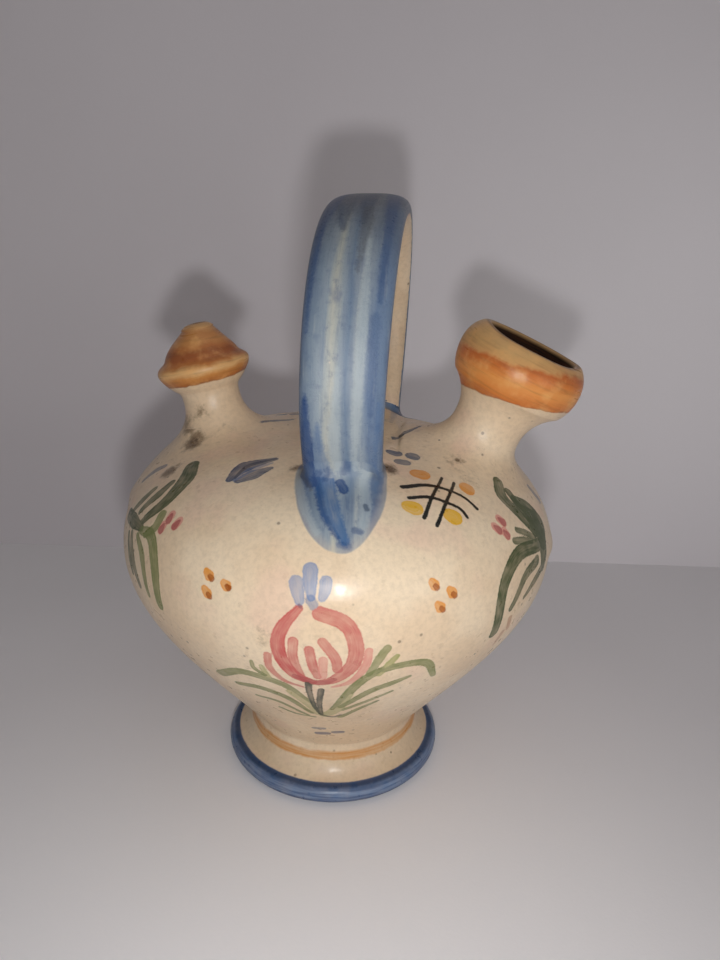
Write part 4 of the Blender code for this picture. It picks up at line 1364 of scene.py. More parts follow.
@dataclass
class ThrownNeck:
    """A neck thrown by itself, luted onto the shoulder and brushed with bands; its root is buried."""

    body: BodySurface
    reach: float
    stand: float
    lean: float
    waist_radius: float
    neck_rise: float
    flare_radius: float
    skirt: tuple
    wear: float
    steps: int
    unsteady: float
    neck_wall: float = 2.9
    blend: float = 4.0
    sway: float = 0.0
    dip: float = 0.0
    spacing: float = 0.22
    root_depth: float = 22.0

    @property
    def bore(self) -> float:
        """The bore's radius."""
        return self.waist_radius - self.neck_wall

    def stance(self) -> Stance:
        """Where the neck's waist stands."""
        height = self.body.outline.shoulder_height(abs(self.reach)) + self.stand
        return Stance(self.reach, height, self.lean)

    def neck(self) -> Neck:
        """The form that the shoulder's skin runs up to."""
        outside = self.outside()
        solid = np.concatenate([[(0.0, -30.0)], [outside[0] + self.skirt], outside, [(0.0, outside[-1][1])]])
        closed = evenly(solid, 0.5)
        chart = Chart((0.0, -34.0), (60.0, 14.0), 0.2, lambda flat: distance_to_outline(flat, closed))
        return Neck(self.stance(), chart, self.blend)

    def build(self, name: str, finish: bpy.types.Material, wheel: SweptTree) -> bpy.types.Object:
        """Turns the closed outline, sinks its root, presses it and dresses it.

        Args:
            name: the piece's name.
            finish: its material.
            wheel: the turning tree.

        Returns:
            The piece.
        """
        face = softened(np.concatenate([self.outside(), self.inside()]), self.wear)
        form = evenly(face, self.spacing)
        bore, deep = self.bore, -self.root_depth
        root = np.array([(bore, deep), (bore + 1.5, deep), (bore + 1.5, deep + 1.0),
                         (form[0][0], deep + 1.0)])
        outline = np.concatenate([root, form, root[:1]])
        stance = self.stance()
        guide = line_mesh(columns(outline[:, 0], 0.0, outline[:, 1]),
                          {"walked": np.arange(float(len(outline)))})
        piece = wheel.make(name, guide, {"Steps": self.steps, "Reach": stance.reach * MM,
                                         "Height": stance.height * MM, "Lean": stance.lean, "Finish": finish})
        self.sink(piece, stance)
        self.press(piece, stance)
        self.dress(piece, stance, float(np.argmax(outline[:, 1])))
        return piece

    def sink(self, piece: bpy.types.Object, stance: Stance) -> None:
        """Lifts the root's points along the neck's axis until none is deeper than its limit."""
        points = points_of(piece)
        order = np.rint(kept(piece, "walked"))
        limit = np.where((order <= 1) | (order > order.max() - 0.5), 3.9, 1.1)
        up = np.array([math.sin(stance.lean), 0.0, math.cos(stance.lean)])
        low = np.where(stance.into(points)[:, 2] < -0.5)[0]
        for _ in range(40):
            deeper = self.body.depth(points[low]) - limit[low]
            low, deeper = low[deeper > 0.01], deeper[deeper > 0.01]
            if not len(low):
                break
            points[low] += deeper[:, None] * up
        set_points(piece, points)

    def press(self, piece: bpy.types.Object, stance: Stance) -> None:
        """Presses the form a little out of round, sways its tip and dips the front of its lip."""
        own = stance.into(points_of(piece))
        turn = np.arctan2(own[:, 1], own[:, 0])
        height = own[:, 2]
        wave = (np.sin(2.0 * turn + 0.9 + 0.20 * height) + 0.6 * np.sin(3.0 * turn - 1.1 - 0.33 * height)
                + 0.45 * np.sin(5.0 * turn + 0.4 + 0.6 * height))
        pressed = self.unsteady * part_way(height, 0.0, 5.0) * (wave - 2.05) / 2.05
        radius = np.maximum(girth(own), 1e-6)
        own[:, :2] *= (1.0 + np.where(radius > self.bore, pressed, 0.0) / radius)[:, None]
        own[:, 0] += self.sway * eased(part_way(height, 12.5, 18.0))
        own[:, 2] -= self.dip * eased(part_way(-own[:, 1], 0.0, 11.0)) * eased(part_way(height, 13.0, 22.0))
        set_points(piece, stance.out(own))

    def dress(self, piece: bpy.types.Object, stance: Stance, peak: float) -> None:
        """Stores what the bands, the lip, the painted shade down the throat and the old stains and painted
        shade round the root are painted by.

        Args:
            piece: the turned piece.
            stance: where it stands.
            peak: which of the outline's points is the highest.
        """
        points = points_of(piece)
        own = stance.into(points)
        past = (kept(piece, "walked") - peak) * self.spacing
        low, high = self.bands(np.arctan2(own[:, 0], -own[:, 1]))
        streak = columns(np.arctan2(own[:, 1], own[:, 0]) * girth(own), own[:, 2], 0.0)
        joins = np.maximum(-self.body.depth(points), 0.0)
        for name, values in (("band", np.where(past > 0.0, 1.9, (own[:, 2] - low) / (high - low))),
                             ("lip", np.abs(past)), ("throat", part_way(past, 0.7, 1.8)),
                             ("grime_and_shade", soiling_and_shade_at(points, joins)), ("streak", streak)):
            keep(piece.data, name, values)


@dataclass
class Mouth(ThrownNeck):
    """The filling mouth: a waisted neck and its thick rolled collar, thrown as one form."""

    collar_swell: float = 2.98
    collar_height: float = 12.5
    lip_radius: float = 11.8
    lip_roll: float = 0.9

    def outside(self) -> np.ndarray:
        """The outer face, from the flare onto the shoulder up to the lip."""
        waist, flare, swell = self.waist_radius, self.flare_radius, self.collar_swell
        neck_top = self.neck_rise - 0.3
        top = self.neck_rise + self.collar_height
        below = bezier(((waist, 0.0), (waist, -0.34 * waist), (1.12 * waist, -0.60 * waist),
                        (1.75 * waist, -1.05 * waist)), 40)
        above = bezier(((flare, neck_top), (0.76 * flare, 0.78 * neck_top), (waist, 0.42 * neck_top),
                        (waist, 0.0)), 40)
        bulge = bezier(((self.lip_radius + self.lip_roll, top - 0.3 * self.lip_roll),
                        (flare + 1.1 * swell, top - 0.30 * self.collar_height),
                        (flare + 0.4 * swell, self.neck_rise + 0.11 * self.collar_height),
                        (flare, self.neck_rise)), 60)
        return np.concatenate([below[::-1], above[::-1][1:], bulge[::-1]])

    def inside(self) -> np.ndarray:
        """Over the rolled lip and down the throat to the bore."""
        top = self.neck_rise + self.collar_height
        throat = self.lip_radius - self.lip_roll
        lip = arc((self.lip_radius, top - self.lip_roll), self.lip_roll, 60.0, 180.0, 12)
        down = bezier(((throat, top - self.lip_roll),
                       (throat - self.lip_roll, self.neck_rise + 0.55 * self.collar_height),
                       (self.bore, self.neck_rise + 0.35 * self.collar_height),
                       (self.bore, 0.5 * self.neck_rise)), 60)
        return np.concatenate([lip, down[1:]])

    def bands(self, turn: np.ndarray) -> tuple[np.ndarray, np.ndarray]:
        """Heights of the orange band's two edges, by the turn from the front towards the outside."""
        return 9.4 + 2.9 * np.sin(turn), 17.6 + 2.9 * np.sin(turn) + 0.5 * np.cos(turn)


@dataclass
class Spout(ThrownNeck):
    """The drinking spout: a slim neck, a drip disc and the pierced teat above it."""

    disc_radius: float = 11.6
    disc_rise: float = 5.3
    teat_length: float = 10.5
    teat_base: float = 9.35
    teat_tip: float = 5.2
    tip_roll: float = 4.2
    hole_radius: float = 1.25

    def outside(self) -> np.ndarray:
        """The outer face, from the flare onto the shoulder up to the tip's edge."""
        waist, flare, base = self.waist_radius, self.flare_radius, self.teat_base
        neck_top = self.neck_rise - 0.3
        ridge = self.neck_rise + self.disc_rise
        tip = ridge + self.teat_length
        shoulder = ridge + 0.26 * self.teat_length
        overhang = self.disc_radius - flare
        below = bezier(((waist, -0.1 * neck_top), (waist, -0.50 * waist), (1.20 * waist, -0.95 * waist),
                        (2.05 * waist, -1.55 * waist)), 40)
        above = bezier(((flare, neck_top), (waist, 0.8 * neck_top), (waist, 0.4 * neck_top),
                        (waist, -0.1 * neck_top)), 10)
        under = bezier(((self.disc_radius, ridge), (self.disc_radius, ridge - 0.26 * self.disc_rise),
                        (flare + 0.33 * overhang, self.neck_rise + 0.15 * self.disc_rise),
                        (flare, self.neck_rise)), 40)
        brim = bezier(((base, shoulder), (base + 0.10 * overhang, shoulder - 0.15 * self.disc_rise),
                       (self.disc_radius, ridge + 0.30 * self.disc_rise), (self.disc_radius, ridge)), 30)
        crown = arc((self.teat_tip - self.tip_roll, tip - self.tip_roll), self.tip_roll, 82.0, 41.0, 14)
        teat = bezier((crown[-1], (1.11 * self.teat_tip, tip - 0.29 * self.teat_length),
                       (0.94 * base, shoulder + 0.18 * self.teat_length), (base, shoulder)), 40)
        return np.concatenate([below[::-1], above[::-1][1:], under[::-1], brim[::-1][1:], teat[::-1][1:],
                               crown[::-1][1:]])

    def inside(self) -> np.ndarray:
        """The narrowing hole, from the tip down to the bore."""
        ridge = self.neck_rise + self.disc_rise
        tip = ridge + self.teat_length
        narrow = bezier(((self.bore, self.neck_rise), (self.bore, ridge + 0.2 * self.teat_length),
                         (self.hole_radius, ridge + 0.4 * self.teat_length),
                         (self.hole_radius, tip - 1.1 * self.tip_roll)), 40)
        return np.concatenate([[(self.hole_radius + 0.2, tip - 0.12)], narrow[::-1]])

    def bands(self, turn: np.ndarray) -> tuple[np.ndarray, np.ndarray]:
        """Heights of the orange band's two edges, by the turn from the front towards +X."""
        return 4.6 + 0.3 * np.sin(turn), 12.4 + 0.5 * np.cos(turn)


# Handle
@dataclass
class Strap:
    """The pulled strap handle, from one foot on the shoulder over to the other."""

    body: BodySurface
    lean: float = math.radians(1.3)
    top: float = 143.95
    half_span: float = 37.5
    foot_reach: float = 26.5
    width: float = 16.5
    thickness: float = 6.2
    crest_swell: float = 1.05
    foot_turn: float = math.radians(9.05)
    crest_turn: float = math.radians(-11.9)
    blend: float = 2.2
    thumbed: float = 3.6
    bury: float = 2.6
    steps: int = 144
    inward: Chart = field(init=False)
    rim: Chart = field(init=False)

    def __post_init__(self) -> None:
        """Works out the distances near the strap's feet once."""
        half = self.half_route()
        half = evenly(half[half[:, 1] < self.body.outline.top + 16.0], 0.4)
        along = heading(half)

        def inward_of(flat: np.ndarray) -> np.ndarray:
            """How far points of the YZ plane lie inwards of the strap's middle line."""
            near = np.linalg.norm(flat[:, None] - half[None], axis=2).argmin(axis=1)
            offset = flat - half[near]
            return offset[:, 0] * along[near, 1] - offset[:, 1] * along[near, 0]

        turn = np.linspace(0.0, math.tau, 49)[:-1]
        section = columns(0.5 * self.width * drawn_out(np.sin(turn), WIDE_POWER),
                          0.5 * self.thickness * drawn_out(np.cos(turn), THIN_POWER))
        self.inward = Chart((-50.0, 70.0), (-10.0, 108.0), 0.25, inward_of)
        self.rim = Chart((-24.0, -24.0), (24.0, 24.0), 0.15, lambda flat: distance_to_outline(flat, section))

    def middle(self, height: np.ndarray) -> np.ndarray:
        """Where the strap's middle lies along X at a height."""
        return STRAP_OFFSET + (height - self.body.outline.top) * math.tan(self.lean)

    def half_route(self) -> np.ndarray:
        """The front half of the middle line, as Y and Z, from under the foot to the crest."""
        crest = self.top - 0.5 * self.thickness * self.crest_swell
        low = self.body.outline.shoulder_height(self.foot_reach) - 2.0 * self.thickness
        spring = 0.5 * (low + crest)
        lift = spring - low
        lower = bezier(((-self.foot_reach, low), (-self.foot_reach, low + 0.4 * lift),
                        (-self.half_span, spring - 0.4 * lift), (-self.half_span, spring)), 200)
        upper = bezier(((-self.half_span, spring), (-self.half_span, spring + 0.62 * lift),
                        (-0.62 * self.half_span, crest), (0.0, crest)), 300)
        return np.concatenate([lower, upper[1:]])

    def route(self, spacing: float) -> np.ndarray:
        """The whole middle line, from wall to wall over the top."""
        half = self.half_route()
        whole = np.concatenate([half, half[-2::-1] * (-1.0, 1.0)])
        places = columns(self.middle(whole[:, 1]), whole[:, 0], whole[:, 1])
        return evenly(places[self.body.depth(places) < self.bury], spacing)

    def frames(self, route: np.ndarray) -> tuple[np.ndarray, np.ndarray]:
        """The strap's own directions along its route.

        Args:
            route: the middle line.

        Returns:
            The direction across the strap and the one out of its outer face, already swollen and
            twisted towards the crest.
        """
        along = heading(route)
        across = unit(np.array([1.0, 0.0, 0.0]) - along[:, :1] * along)
        outward = np.cross(along, across)
        low = self.body.outline.shoulder_height(self.foot_reach)
        rise = np.maximum(0.0, (route[:, 2:] - low) / (self.top - low)) ** 2
        swell = 1.0 + (self.crest_swell - 1.0) * rise
        across, outward = swung(across, outward, self.foot_turn + self.crest_turn * rise)
        return swell * across, swell * outward

    def inwards(self, points: np.ndarray) -> np.ndarray:
        """How far points near the feet lie inwards of the middle line."""
        return self.inward.at(columns(-np.abs(points[:, 1]), points[:, 2]))

    def distance(self, points: np.ndarray) -> np.ndarray:
        """How far points lie from the strap near its feet."""
        across = points[:, 0] - self.middle(points[:, 2])
        return self.rim.at(columns(*swung(across, self.inwards(points), self.foot_turn)))

    def reach_at(self, points: np.ndarray) -> np.ndarray:
        """How broadly the skin runs up the strap: more on its outer face, where a thumb drew it down."""
        outside = part_way(-self.inwards(points), 0.5, 2.5)
        aside = np.abs(points[:, 0] - self.middle(points[:, 2]))
        return self.blend + self.thumbed * outside * part_way(0.5 * self.width + 1.0 - aside, 0.0, 3.0)

    def rising(self, points: np.ndarray) -> np.ndarray:
        """The strap's own direction upwards at points near its feet."""
        half = self.half_route()
        lean, climb = read_off(points[:, 2] + 3.0, half[:, 1], np.gradient(half, axis=0)).T
        return unit(columns(math.tan(self.lean) * climb, np.where(points[:, 1] < 0.0, lean, -lean), climb))

    def start(self) -> float:
        """What to add to a length along the strap to go on from the length walked up the shoulder."""
        route = self.route(0.25)
        outer = route - 0.5 * self.thickness * self.frames(route)[1]
        first = int(np.argmax(self.body.depth(outer) < 0.0))
        return float(self.body.walked_at(girth(outer)[first])) - TONGUE_WALKED - 0.25 * first

    def build(self, name: str, finish: bpy.types.Material, puller: SweptTree) -> bpy.types.Object:
        """Carries the section along the route and paints it.

        Args:
            name: the piece's name.
            finish: the strap's material.
            puller: the tree that does it.

        Returns:
            The piece.
        """
        route = self.route(0.5)
        across, outward = (np.pad(side, ((1, 1), (0, 0))) for side in self.frames(route))
        walked = np.pad(walked_along(route), 1, "edge")
        guide = line_mesh(np.pad(route, ((1, 1), (0, 0)), "edge"),
                          {"across": across, "outward": outward, "walked": walked})
        piece = puller.make(name, guide, {"Steps": self.steps, "Width": self.width * MM,
                                          "Thickness": self.thickness * MM, "Finish": finish})
        self.dress(piece, walked[-1])
        return piece

    def dress(self, piece: bpy.types.Object, length: float) -> None:
        """Stores what the blue wash and its darker touches are painted by, on a strap this long."""
        wide, thin = kept(piece, "section")[:, :2].T
        across = drawn_out(wide, WIDE_POWER)
        outer = -drawn_out(thin, THIN_POWER)
        along = kept(piece, "walked") + self.start()
        half = np.minimum(along, length + 2.0 * self.start() - along)
        keep(piece.data, "painted", outer + 0.30)
        keep(piece.data, "streak", columns(across, half, np.where(along > half + 0.1, 9.0, 0.0)))
        keep(piece.data, "grime_and_shade", np.zeros(len(along)))
        canvas = Canvas(len(along))
        chosen = np.where(outer > -0.35)[0]
        for strokes, height in ((STRAP_STROKES, along), (TONGUE_STROKES, half)):
            flat = columns(0.5 * self.width * across, height)[chosen]
            for stroke in strokes:
                canvas.stroke(stroke, flat, chosen)
        canvas.keep_on(piece.data, np.arange(len(along)))


# Body
@dataclass(frozen=True)
class Wad:
    """A tongue of soft clay thumbed down from a foot of the strap onto the shoulder."""

    side: float
    drift: float
    start: float = 29.6
    length: float = 21.5
    width: float = 18.6
    thickness: float = 2.0

    def height(self, surface: BodySurface, x: np.ndarray, y: np.ndarray, walked: np.ndarray) -> np.ndarray:
        """How far the clay stands off the shoulder.

        Args:
            surface: the body's face.
            x: places across.
            y: places along the jug's depth.
            walked: lengths walked up the face.

        Returns:
            A height in millimetres for each place.
        """
        down = (surface.walked_at(self.start) - walked) / self.length
        part = np.clip(down, 0.0, 1.0)
        middle = STRAP_OFFSET + self.drift * part ** 2
        half = 0.5 * self.width * np.sqrt(np.clip(1.05 - part ** 3, 0.02, 1.0)) + 1.2
        across = np.clip(np.abs(x - middle) / half, 0.0, 1.0)
        rise = self.thickness * (1.0 - across ** 3) ** 2 * (1.0 - part ** 2) ** 1.5
        return np.where(y * self.side > 0.0, rise * part_way(down, -0.7, -0.2), 0.0)


@dataclass
class Shoulders:
    """Raises the body's skin over the roots of necks, strap and wads, so that they grow out of it."""

    surface: BodySurface
    necks: list[Neck]
    strap: Strap
    wads: list[Wad]
    near: float = 7.0
    drawn_up: float = 1.5
    tucked: float = 0.10

    def mound(self, points: np.ndarray) -> np.ndarray:
        """How far the wads stand off the shoulder below points near it."""
        reach = np.maximum(girth(points), 1e-6)
        lean = self.surface.normal_at(self.surface.walked_at(reach))[:, 0]
        under = np.maximum(reach + self.surface.depth(points) * lean, 1e-6)
        x, y = (under / reach * points[:, axis] for axis in (0, 1))
        walked = self.surface.walked_at(under)
        return sum(wad.height(self.surface, x, y, walked) for wad in self.wads)

    def field(self, points: np.ndarray, form: Neck | Strap) -> np.ndarray:
        """The distance from points to the shoulder and one form on it, rounded where they meet."""
        first, second = -self.surface.depth(points) - self.mound(points), form.distance(points)
        reach = form.reach_at(points)
        overlap = np.maximum(reach - np.abs(first - second), 0.0) / reach
        return np.minimum(first, second) - 0.25 * reach * overlap ** 2

    def raised(self, base: np.ndarray, normal: np.ndarray,
               walked: np.ndarray) -> tuple[np.ndarray, np.ndarray, np.ndarray]:
        """Moves points of the plain skin out to the rounded join.

        Args:
            base: points on the body's face.
            normal: the face's directions there.
            walked: lengths walked up the face.

        Returns:
            The moved points, the directions that light them, and how far each was carried up a form.
        """
        moved, light, climbed = base.copy(), normal.copy(), np.zeros(len(base))
        upper = walked > self.surface.belly
        for form in self.necks:
            near = np.where((form.distance(base) < self.near) & upper)[0]
            low, high = np.zeros(len(near)), np.full(len(near), 14.0)
            for _ in range(18):
                middle = 0.5 * (low + high)
                gap = self.field(base[near] + middle[:, None] * normal[near], form)
                low = np.where(gap < 0.0, middle, low)
                high = np.where(gap < 0.0, high, middle)
            climb = 0.5 * (low + high)
            lift = np.where(climb > form.blend, np.maximum(2.0 * form.blend - climb, -0.6), climb)
            moved[near] = base[near] + lift[:, None] * normal[near]
            light[near] = slope_of(lambda spots: self.field(spots, form),
                                   base[near] + climb[:, None] * normal[near])
        near = np.where(((self.strap.distance(base) < self.near) | (self.mound(base) > 0.0)) & upper)[0]
        moved[near], light[near], climbed[near] = self.wrapped(base[near], normal[near])
        return moved, light, climbed

    def wrapped(self, base: np.ndarray, normal: np.ndarray) -> tuple[np.ndarray, np.ndarray, np.ndarray]:
        """Draws the skin up the strap's faces and hides what is left of it inside the strap.

        Args:
            base: points on the body's face round a foot of the strap.
            normal: the face's directions there.

        Returns:
            The moved points, the directions that light them, and how far each was carried up the strap.
        """
        strap = self.strap
        inside = np.maximum(-strap.distance(base), 0.0)
        out = unit(slope_of(strap.distance, base))
        most = strap.reach_at(base + (inside + 0.5)[:, None] * out)
        share = part_way(inside, 0.0, self.drawn_up)
        hidden = part_way(inside, self.drawn_up, self.drawn_up + 0.9)
        climb = most * share * (1.0 - hidden)
        spot = (base + self.mound(base)[:, None] * normal + climb[:, None] * strap.rising(base)
                + (inside * (1.0 - hidden))[:, None] * out)
        free = hidden <= 0.0
        for _ in range(6):
            slope = slope_of(lambda spots: self.field(spots, strap), spot[free])
            steep = np.maximum((slope ** 2).sum(axis=1), 0.05)
            spot[free] -= np.clip(self.field(spot[free], strap) / steep, -1.2, 1.2)[:, None] * slope
        light = slope_of(lambda spots: self.field(spots, strap), spot)
        light[~free] = out[~free]
        spot -= (self.tucked * eased(part_way(share, 0.72, 1.0)))[:, None] * out
        return spot, light, climb


@dataclass
class WallRing:
    """One ring of the body's wall, closed all round, its outer face between two lengths walked."""

    surface: BodySurface
    low: float
    high: float
    spacing: float
    steps: int = 900
    front_density: float = 0.3

    def outer_rows(self, top: bool, bottom: bool) -> np.ndarray:
        """Lengths walked of the rows on the outer face, coarser near the axis."""
        def spread(start: float, end: float) -> np.ndarray:
            """Rows at the ring's spacing."""
            return np.linspace(start, end, int(round((end - start) / self.spacing)) + 1)

        if top:
            turn = float(self.surface.walked_at(21.0))
            return np.concatenate([spread(self.low, turn), np.linspace(turn, self.high, 25)[1:]])
        if bottom:
            edge = self.low + self.surface.outline.foot_radius - self.surface.outline.foot_roll
            return np.concatenate([np.linspace(self.low, edge, 5)[:-1], np.linspace(edge, 0.0, 46),
                                   spread(0.0, self.high)[1:]])
        return spread(self.low, self.high)

    def guide(self) -> tuple[np.ndarray, np.ndarray]:
        """The closed outline of the ring, its outer face going up.

        Returns:
            The outline's points, and the length walked at each, far below zero on the inner face.
        """
        outline = self.surface.outline
        top, bottom = self.high > self.surface.walked[-1] - 0.01, self.low < self.surface.walked[0] + 0.01
        rows = self.outer_rows(top, bottom)
        outer = self.surface.at(rows)
        inner_rows = np.linspace(max(self.low, 0.5), self.high, 5)
        inner = self.surface.at(inner_rows) - outline.wall * self.surface.normal_at(inner_rows)
        if bottom:
            outer[0, 0] = 0.0
            floor = left_of(outline.bottom(), outline.wall)[::20]
            floor[0, 0] = 0.0
            inner = np.concatenate([floor[floor[:, 0] < inner[0, 0] - 0.5], inner])
        hidden = np.full(len(inner), INSIDE)
        if top:
            outer[-1, 0] = inner[-1, 0] = 0.0
            return np.concatenate([inner[::-1], outer]), np.concatenate([hidden, rows])
        end = 0 if bottom else 1
        return np.concatenate([outer, inner[::-1], outer[:end]]), np.concatenate([rows, hidden, rows[:end]])

    def build(self, name: str, finish: bpy.types.Material, wheel: SweptTree,
              shoulders: Shoulders) -> bpy.types.Object:
        """Turns the ring and raises its skin where something stands on it.

        Args:
            name: the ring's name.
            finish: its material.
            wheel: the turning tree.
            shoulders: what stands on the body.

        Returns:
            The piece.
        """
        line, walked = self.guide()
        piece = wheel.make(name, line_mesh(columns(line[:, 0], 0.0, line[:, 1]), {"walked": walked}), {
            "Steps": self.steps, "Front Density": self.front_density, "Map To": 0.97, "Finish": finish})
        points = points_of(piece)
        walked = kept(piece, "walked")
        outer = np.where(walked > 0.75 * INSIDE)[0]
        azimuth = np.arctan2(points[outer, 0], -points[outer, 1])
        flat = self.surface.normal_at(walked[outer])
        normals = fetched(piece.data.vertex_normals, "vector", 3)
        normals[outer] = columns(flat[:, 0] * np.sin(azimuth), -flat[:, 0] * np.cos(azimuth), flat[:, 1])
        plain, climbed = points[outer], np.zeros(len(outer))
        upper = self.high > self.surface.belly + 0.1
        if upper:
            points[outer], normals[outer], climbed = shoulders.raised(plain, normals[outer], walked[outer])
            set_points(piece, points)
        piece.data.normals_split_custom_set_from_vertices(unit(normals).tolist())
        self.dress(piece.data, outer, plain, walked[outer], climbed, shoulders if upper else None)
        return piece

    def dress(self, mesh: bpy.types.Mesh, painted: np.ndarray, spots: np.ndarray, height: np.ndarray,
              climbed: np.ndarray, shoulders: Shoulders | None) -> None:
        """Paints the ring.

        Args:
            mesh: the ring's mesh.
            painted: which of its points lie on the outer face.
            spots: their places before the skin was raised.
            height: the length walked up to each.
            climbed: how far each was carried up the strap.
            shoulders: what stands on the ring, if anything.
        """
        azimuth = np.degrees(np.arctan2(spots[:, 0], -spots[:, 1]))
        radius = girth(spots)
        canvas = Canvas(len(painted))
        for motif in BODY_MOTIFS:
            canvas.motif(motif, azimuth, height, radius)
        tongue, streak = np.full(len(painted), 3.0), np.zeros((len(painted), 3))
        joins = np.full(len(painted), 30.0)
        if shoulders:
            outline = rounded(np.array(TONGUE_EDGE), 6)
            swing = (azimuth - 9.3 + 180.0) % 360.0 - 180.0
            up = height - TONGUE_WALKED
            for side, across in ((-1.0, np.radians(swing) * radius), (1.0, spots[:, 0] - STRAP_OFFSET)):
                flat = columns(across, up + climbed)
                near = np.where((spots[:, 1] * side > 0.0) & (np.abs(flat) < (14.0, 24.0)).all(axis=1))[0]
                below = columns(across, up)[near]
                tongue[near] = np.clip(distance_to_outline(below, outline), -6.0, 3.0)
                streak[near] = columns(across[near] / 8.25, flat[near, 1], 4.5 + 4.5 * side)
                for stroke in (*TONGUE_STROKES, *STRAP_STROKES):
                    canvas.stroke(stroke, flat[near], near)
            for form in (*shoulders.necks, shoulders.strap):
                joins = np.minimum(joins, np.maximum(form.distance(spots), 0.0))
        canvas.keep_on(mesh, painted)
        # Besides the tongue, each point carries how much old stains and painted shade darken it.
        for name, empty, values in (("tongue", 3.0, tongue), ("streak", 0.0, streak),
                                    ("grime_and_shade", 0.0, soiling_and_shade_at(spots, joins))):
            filled = np.full((len(mesh.vertices), *values.shape[1:]), empty)
            filled[painted] = values
            keep(mesh, name, filled)


# The studio
@dataclass(frozen=True)
class Viewpoint:
    """Where the photograph was taken from, in millimetres and degrees."""

    distance: float = 173.43
    height: float = 134.48
    round_jug: float = 7.5
    aim: float = 1.714
    down: float = 18.54
    roll: float = 1.94
    focal_pixels: float = 721.0
    long_side: int = 960
    film: float = 36.0

    def build(self) -> None:
        """Makes the camera and gives it to the scene."""
        swing = math.radians(self.round_jug)
        turn = math.radians(self.aim) - swing
        pitch = math.radians(self.down)
        forward = np.array([math.sin(turn) * math.cos(pitch), math.cos(turn) * math.cos(pitch),
                            -math.sin(pitch)])
        level = unit(np.cross(forward, [0.0, 0.0, 1.0])[None])[0]
        right, up = swung(level, np.cross(level, forward), math.radians(self.roll))
        place = MM * np.array([self.distance * math.sin(swing), -self.distance * math.cos(swing),
                               self.height])
        data = bpy.data.cameras.new("photographer")
        data.sensor_width = self.film
        data.lens = self.film * self.focal_pixels / self.long_side
        data.clip_start = 0.01
        data.clip_end = 10.0
        camera = placed(bpy.data.objects.new("photographer", data))
        turned = Matrix([list(right), list(up), list(-forward)]).transposed().to_4x4()
        camera.matrix_world = Matrix.Translation(place) @ turned
        bpy.context.scene.camera = camera


@dataclass(frozen=True)
class Studio:
    """A pale floor and wall under a soft light near the camera and a faint one all round, in metres."""

    # Each sheet's camera-only glow towards its palest spot is painted light on the floor and the wall.
    floor: PaperFinish = PaperFinish((234, 230, 232), (20.0, -130.0, 0.0), (0.015, 0.13))
    wall: PaperFinish = PaperFinish((228, 222, 226), (120.0, 120.0, 100.0), (0.0, 0.07), True)
    wall_distance: float = 0.122
    wall_turn: float = math.radians(-5.8)
    half_width: float = 1.5
    depth: float = 2.5
    height: float = 1.2
    clearance: float = 0.00004
    lamps: tuple = (("key_lamp", (0.026, -0.180, 0.104), 0.013, 0.136),
                    ("side_lamp", (0.36, -0.34, 0.10), 0.25, 0.26),
                    ("top_lamp", (0.10, 0.0, 0.62), 0.5, 0.22))
    lamp_aim: tuple = (0.0, 0.0, 0.06)
    room_tint: tuple = (1.0, 0.99, 0.97, 1.0)
    room_strength: float = 0.17

    def build(self) -> None:
        """Lays the floor, stands the wall behind it and hangs the lights."""
        cos, sin = math.cos(self.wall_turn), math.sin(self.wall_turn)
        foot = Vector((sin, cos, 0.0)) * self.wall_distance
        side = Vector((cos, -sin, 0.0)) * self.half_width
        back = Vector((sin, cos, 0.0)) * self.depth
        up = Vector((0.0, 0.0, self.height))
        left, right = foot - side, foot + side
        self.sheet("floor", self.floor, (left, right, right - back, left - back))
        self.sheet("wall", self.wall, (right, left, left + up, right + up))
        for name, place, size, power in self.lamps:
            self.lamp(name, place, size, power)
        world = bpy.data.worlds.new("room")
        world.use_nodes = True
        background = world.node_tree.nodes["Background"]
        background.inputs[0].default_value = self.room_tint
        background.inputs[1].default_value = self.room_strength
        bpy.context.scene.world = world

    def sheet(self, name: str, finish: PaperFinish, corners: tuple) -> None:
        """Makes one flat sheet of the stage from its corners, anticlockwise seen from its face."""
        mesh = bpy.data.meshes.new(name)
        drop = Vector((0.0, 0.0, -self.clearance))
        mesh.from_pydata([corner + drop for corner in corners], [], [(0, 3, 2, 1)])
        mesh.materials.append(finish.make(name + "_paper"))
        placed(bpy.data.objects.new(name, mesh))

    def lamp(self, name: str, place: tuple, size: float, power: float) -> None:
        """Hangs one round lamp of a width and a power in watts."""
        data = bpy.data.lights.new(name, "AREA")
        data.shape = "DISK"
        data.size = size
        data.energy = power
        lamp = placed(bpy.data.objects.new(name, data))
        lamp.location = place
        lamp.rotation_mode = "QUATERNION"
        lamp.rotation_quaternion = (Vector(place) - Vector(self.lamp_aim)).to_track_quat("Z", "Y")


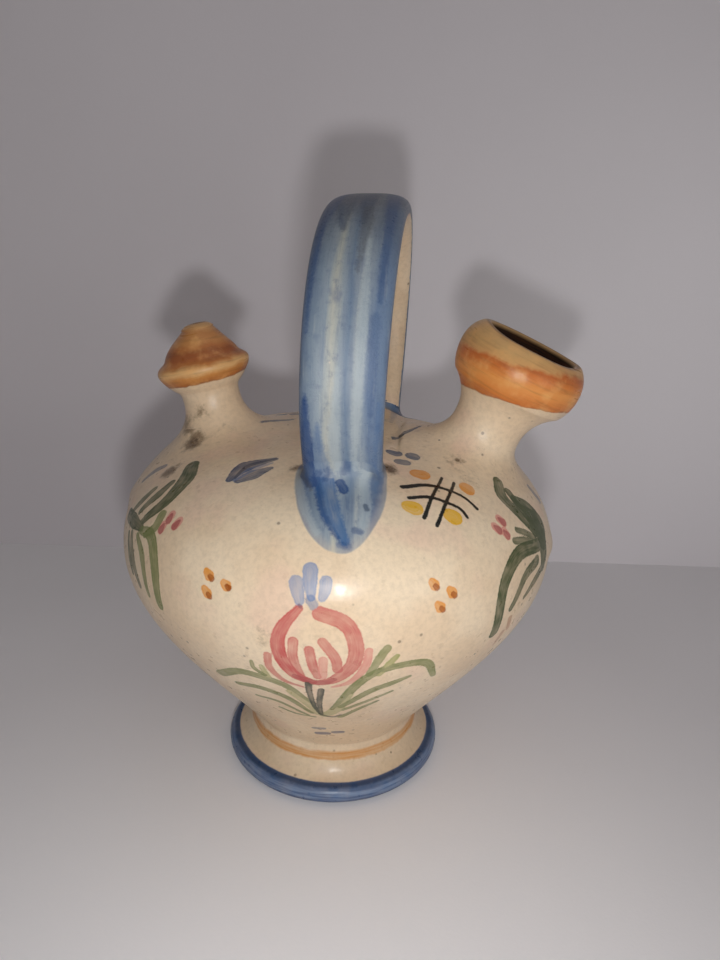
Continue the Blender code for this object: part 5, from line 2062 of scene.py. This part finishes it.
def main() -> None:
    """Builds the jug piece by piece, then the studio round it."""
    logging.basicConfig(level=logging.INFO, format="%(name)s: %(message)s")
    bpy.context.scene.view_settings.view_transform = "Standard"
    surface = BodySurface(BodyOutline())
    wheel, puller = potters_wheel(), pulled_strap()
    mouth = Mouth(surface, reach=35.6, stand=7.0, lean=math.radians(23.9), waist_radius=8.6, neck_rise=9.8,
                  flare_radius=14.0, skirt=(12.0, -9.0), wear=0.35, steps=288, unsteady=0.12, dip=1.05)
    spout = Spout(surface, reach=-32.6, stand=9.4, lean=math.radians(-13.2), waist_radius=7.0, neck_rise=2.5,
                  flare_radius=7.4, skirt=(10.0, -8.0), wear=0.30, steps=240, unsteady=0.28, sway=0.9)
    strap = Strap(surface)
    shoulders = Shoulders(surface, [mouth.neck(), spout.neck()], strap, [Wad(-1.0, 3.4), Wad(1.0, 0.0)])
    cream = PaintedGlaze().make("painted_cream_glaze")
    orange = BandedGlaze(MOUTH_BANDS).make("banded_orange_glaze")
    ochre = BandedGlaze(SPOUT_BANDS_AND_HIGHLIGHT).make("banded_ochre_glaze")
    blue = StrapGlaze().make("watery_blue_glaze")
    bottom, belly, top = surface.walked[0], surface.belly, surface.walked[-1]
    made = [(WallRing(surface, low, high, spacing).build(name, cream, wheel, shoulders),
             "painted_glaze", nodes)
            for name, low, high, spacing, nodes in (
                ("stand", bottom, 20.0, 0.45, ["foot"]), ("bowl", 20.0, belly, 0.40, ["body_bowl"]),
                ("belly", belly, 79.0, 0.36, []), ("shoulder", 79.0, top, 0.36, ["body_shoulder"]))]
    made += [(mouth.build("mouth", orange, wheel), "ochre_glaze", ["mouth_neck", "mouth_collar"]),
             (spout.build("spout", ochre, wheel), "ochre_glaze", ["spout_neck", "spout_teat"]),
             (strap.build("handle", blue, puller), "blue_glaze",
              ["handle_strap", "handle_wad_front", "handle_wad_rear"])]
    for piece, slot, nodes in made:
        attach(piece, "root")
        if nodes:
            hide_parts(*nodes)
        piece.data.calc_loop_triangles()
        LOG.info("%s: %d triangles", piece.name, len(piece.data.loop_triangles))
    Viewpoint().build()
    Studio().build()


if __name__ == "__main__":
    main()
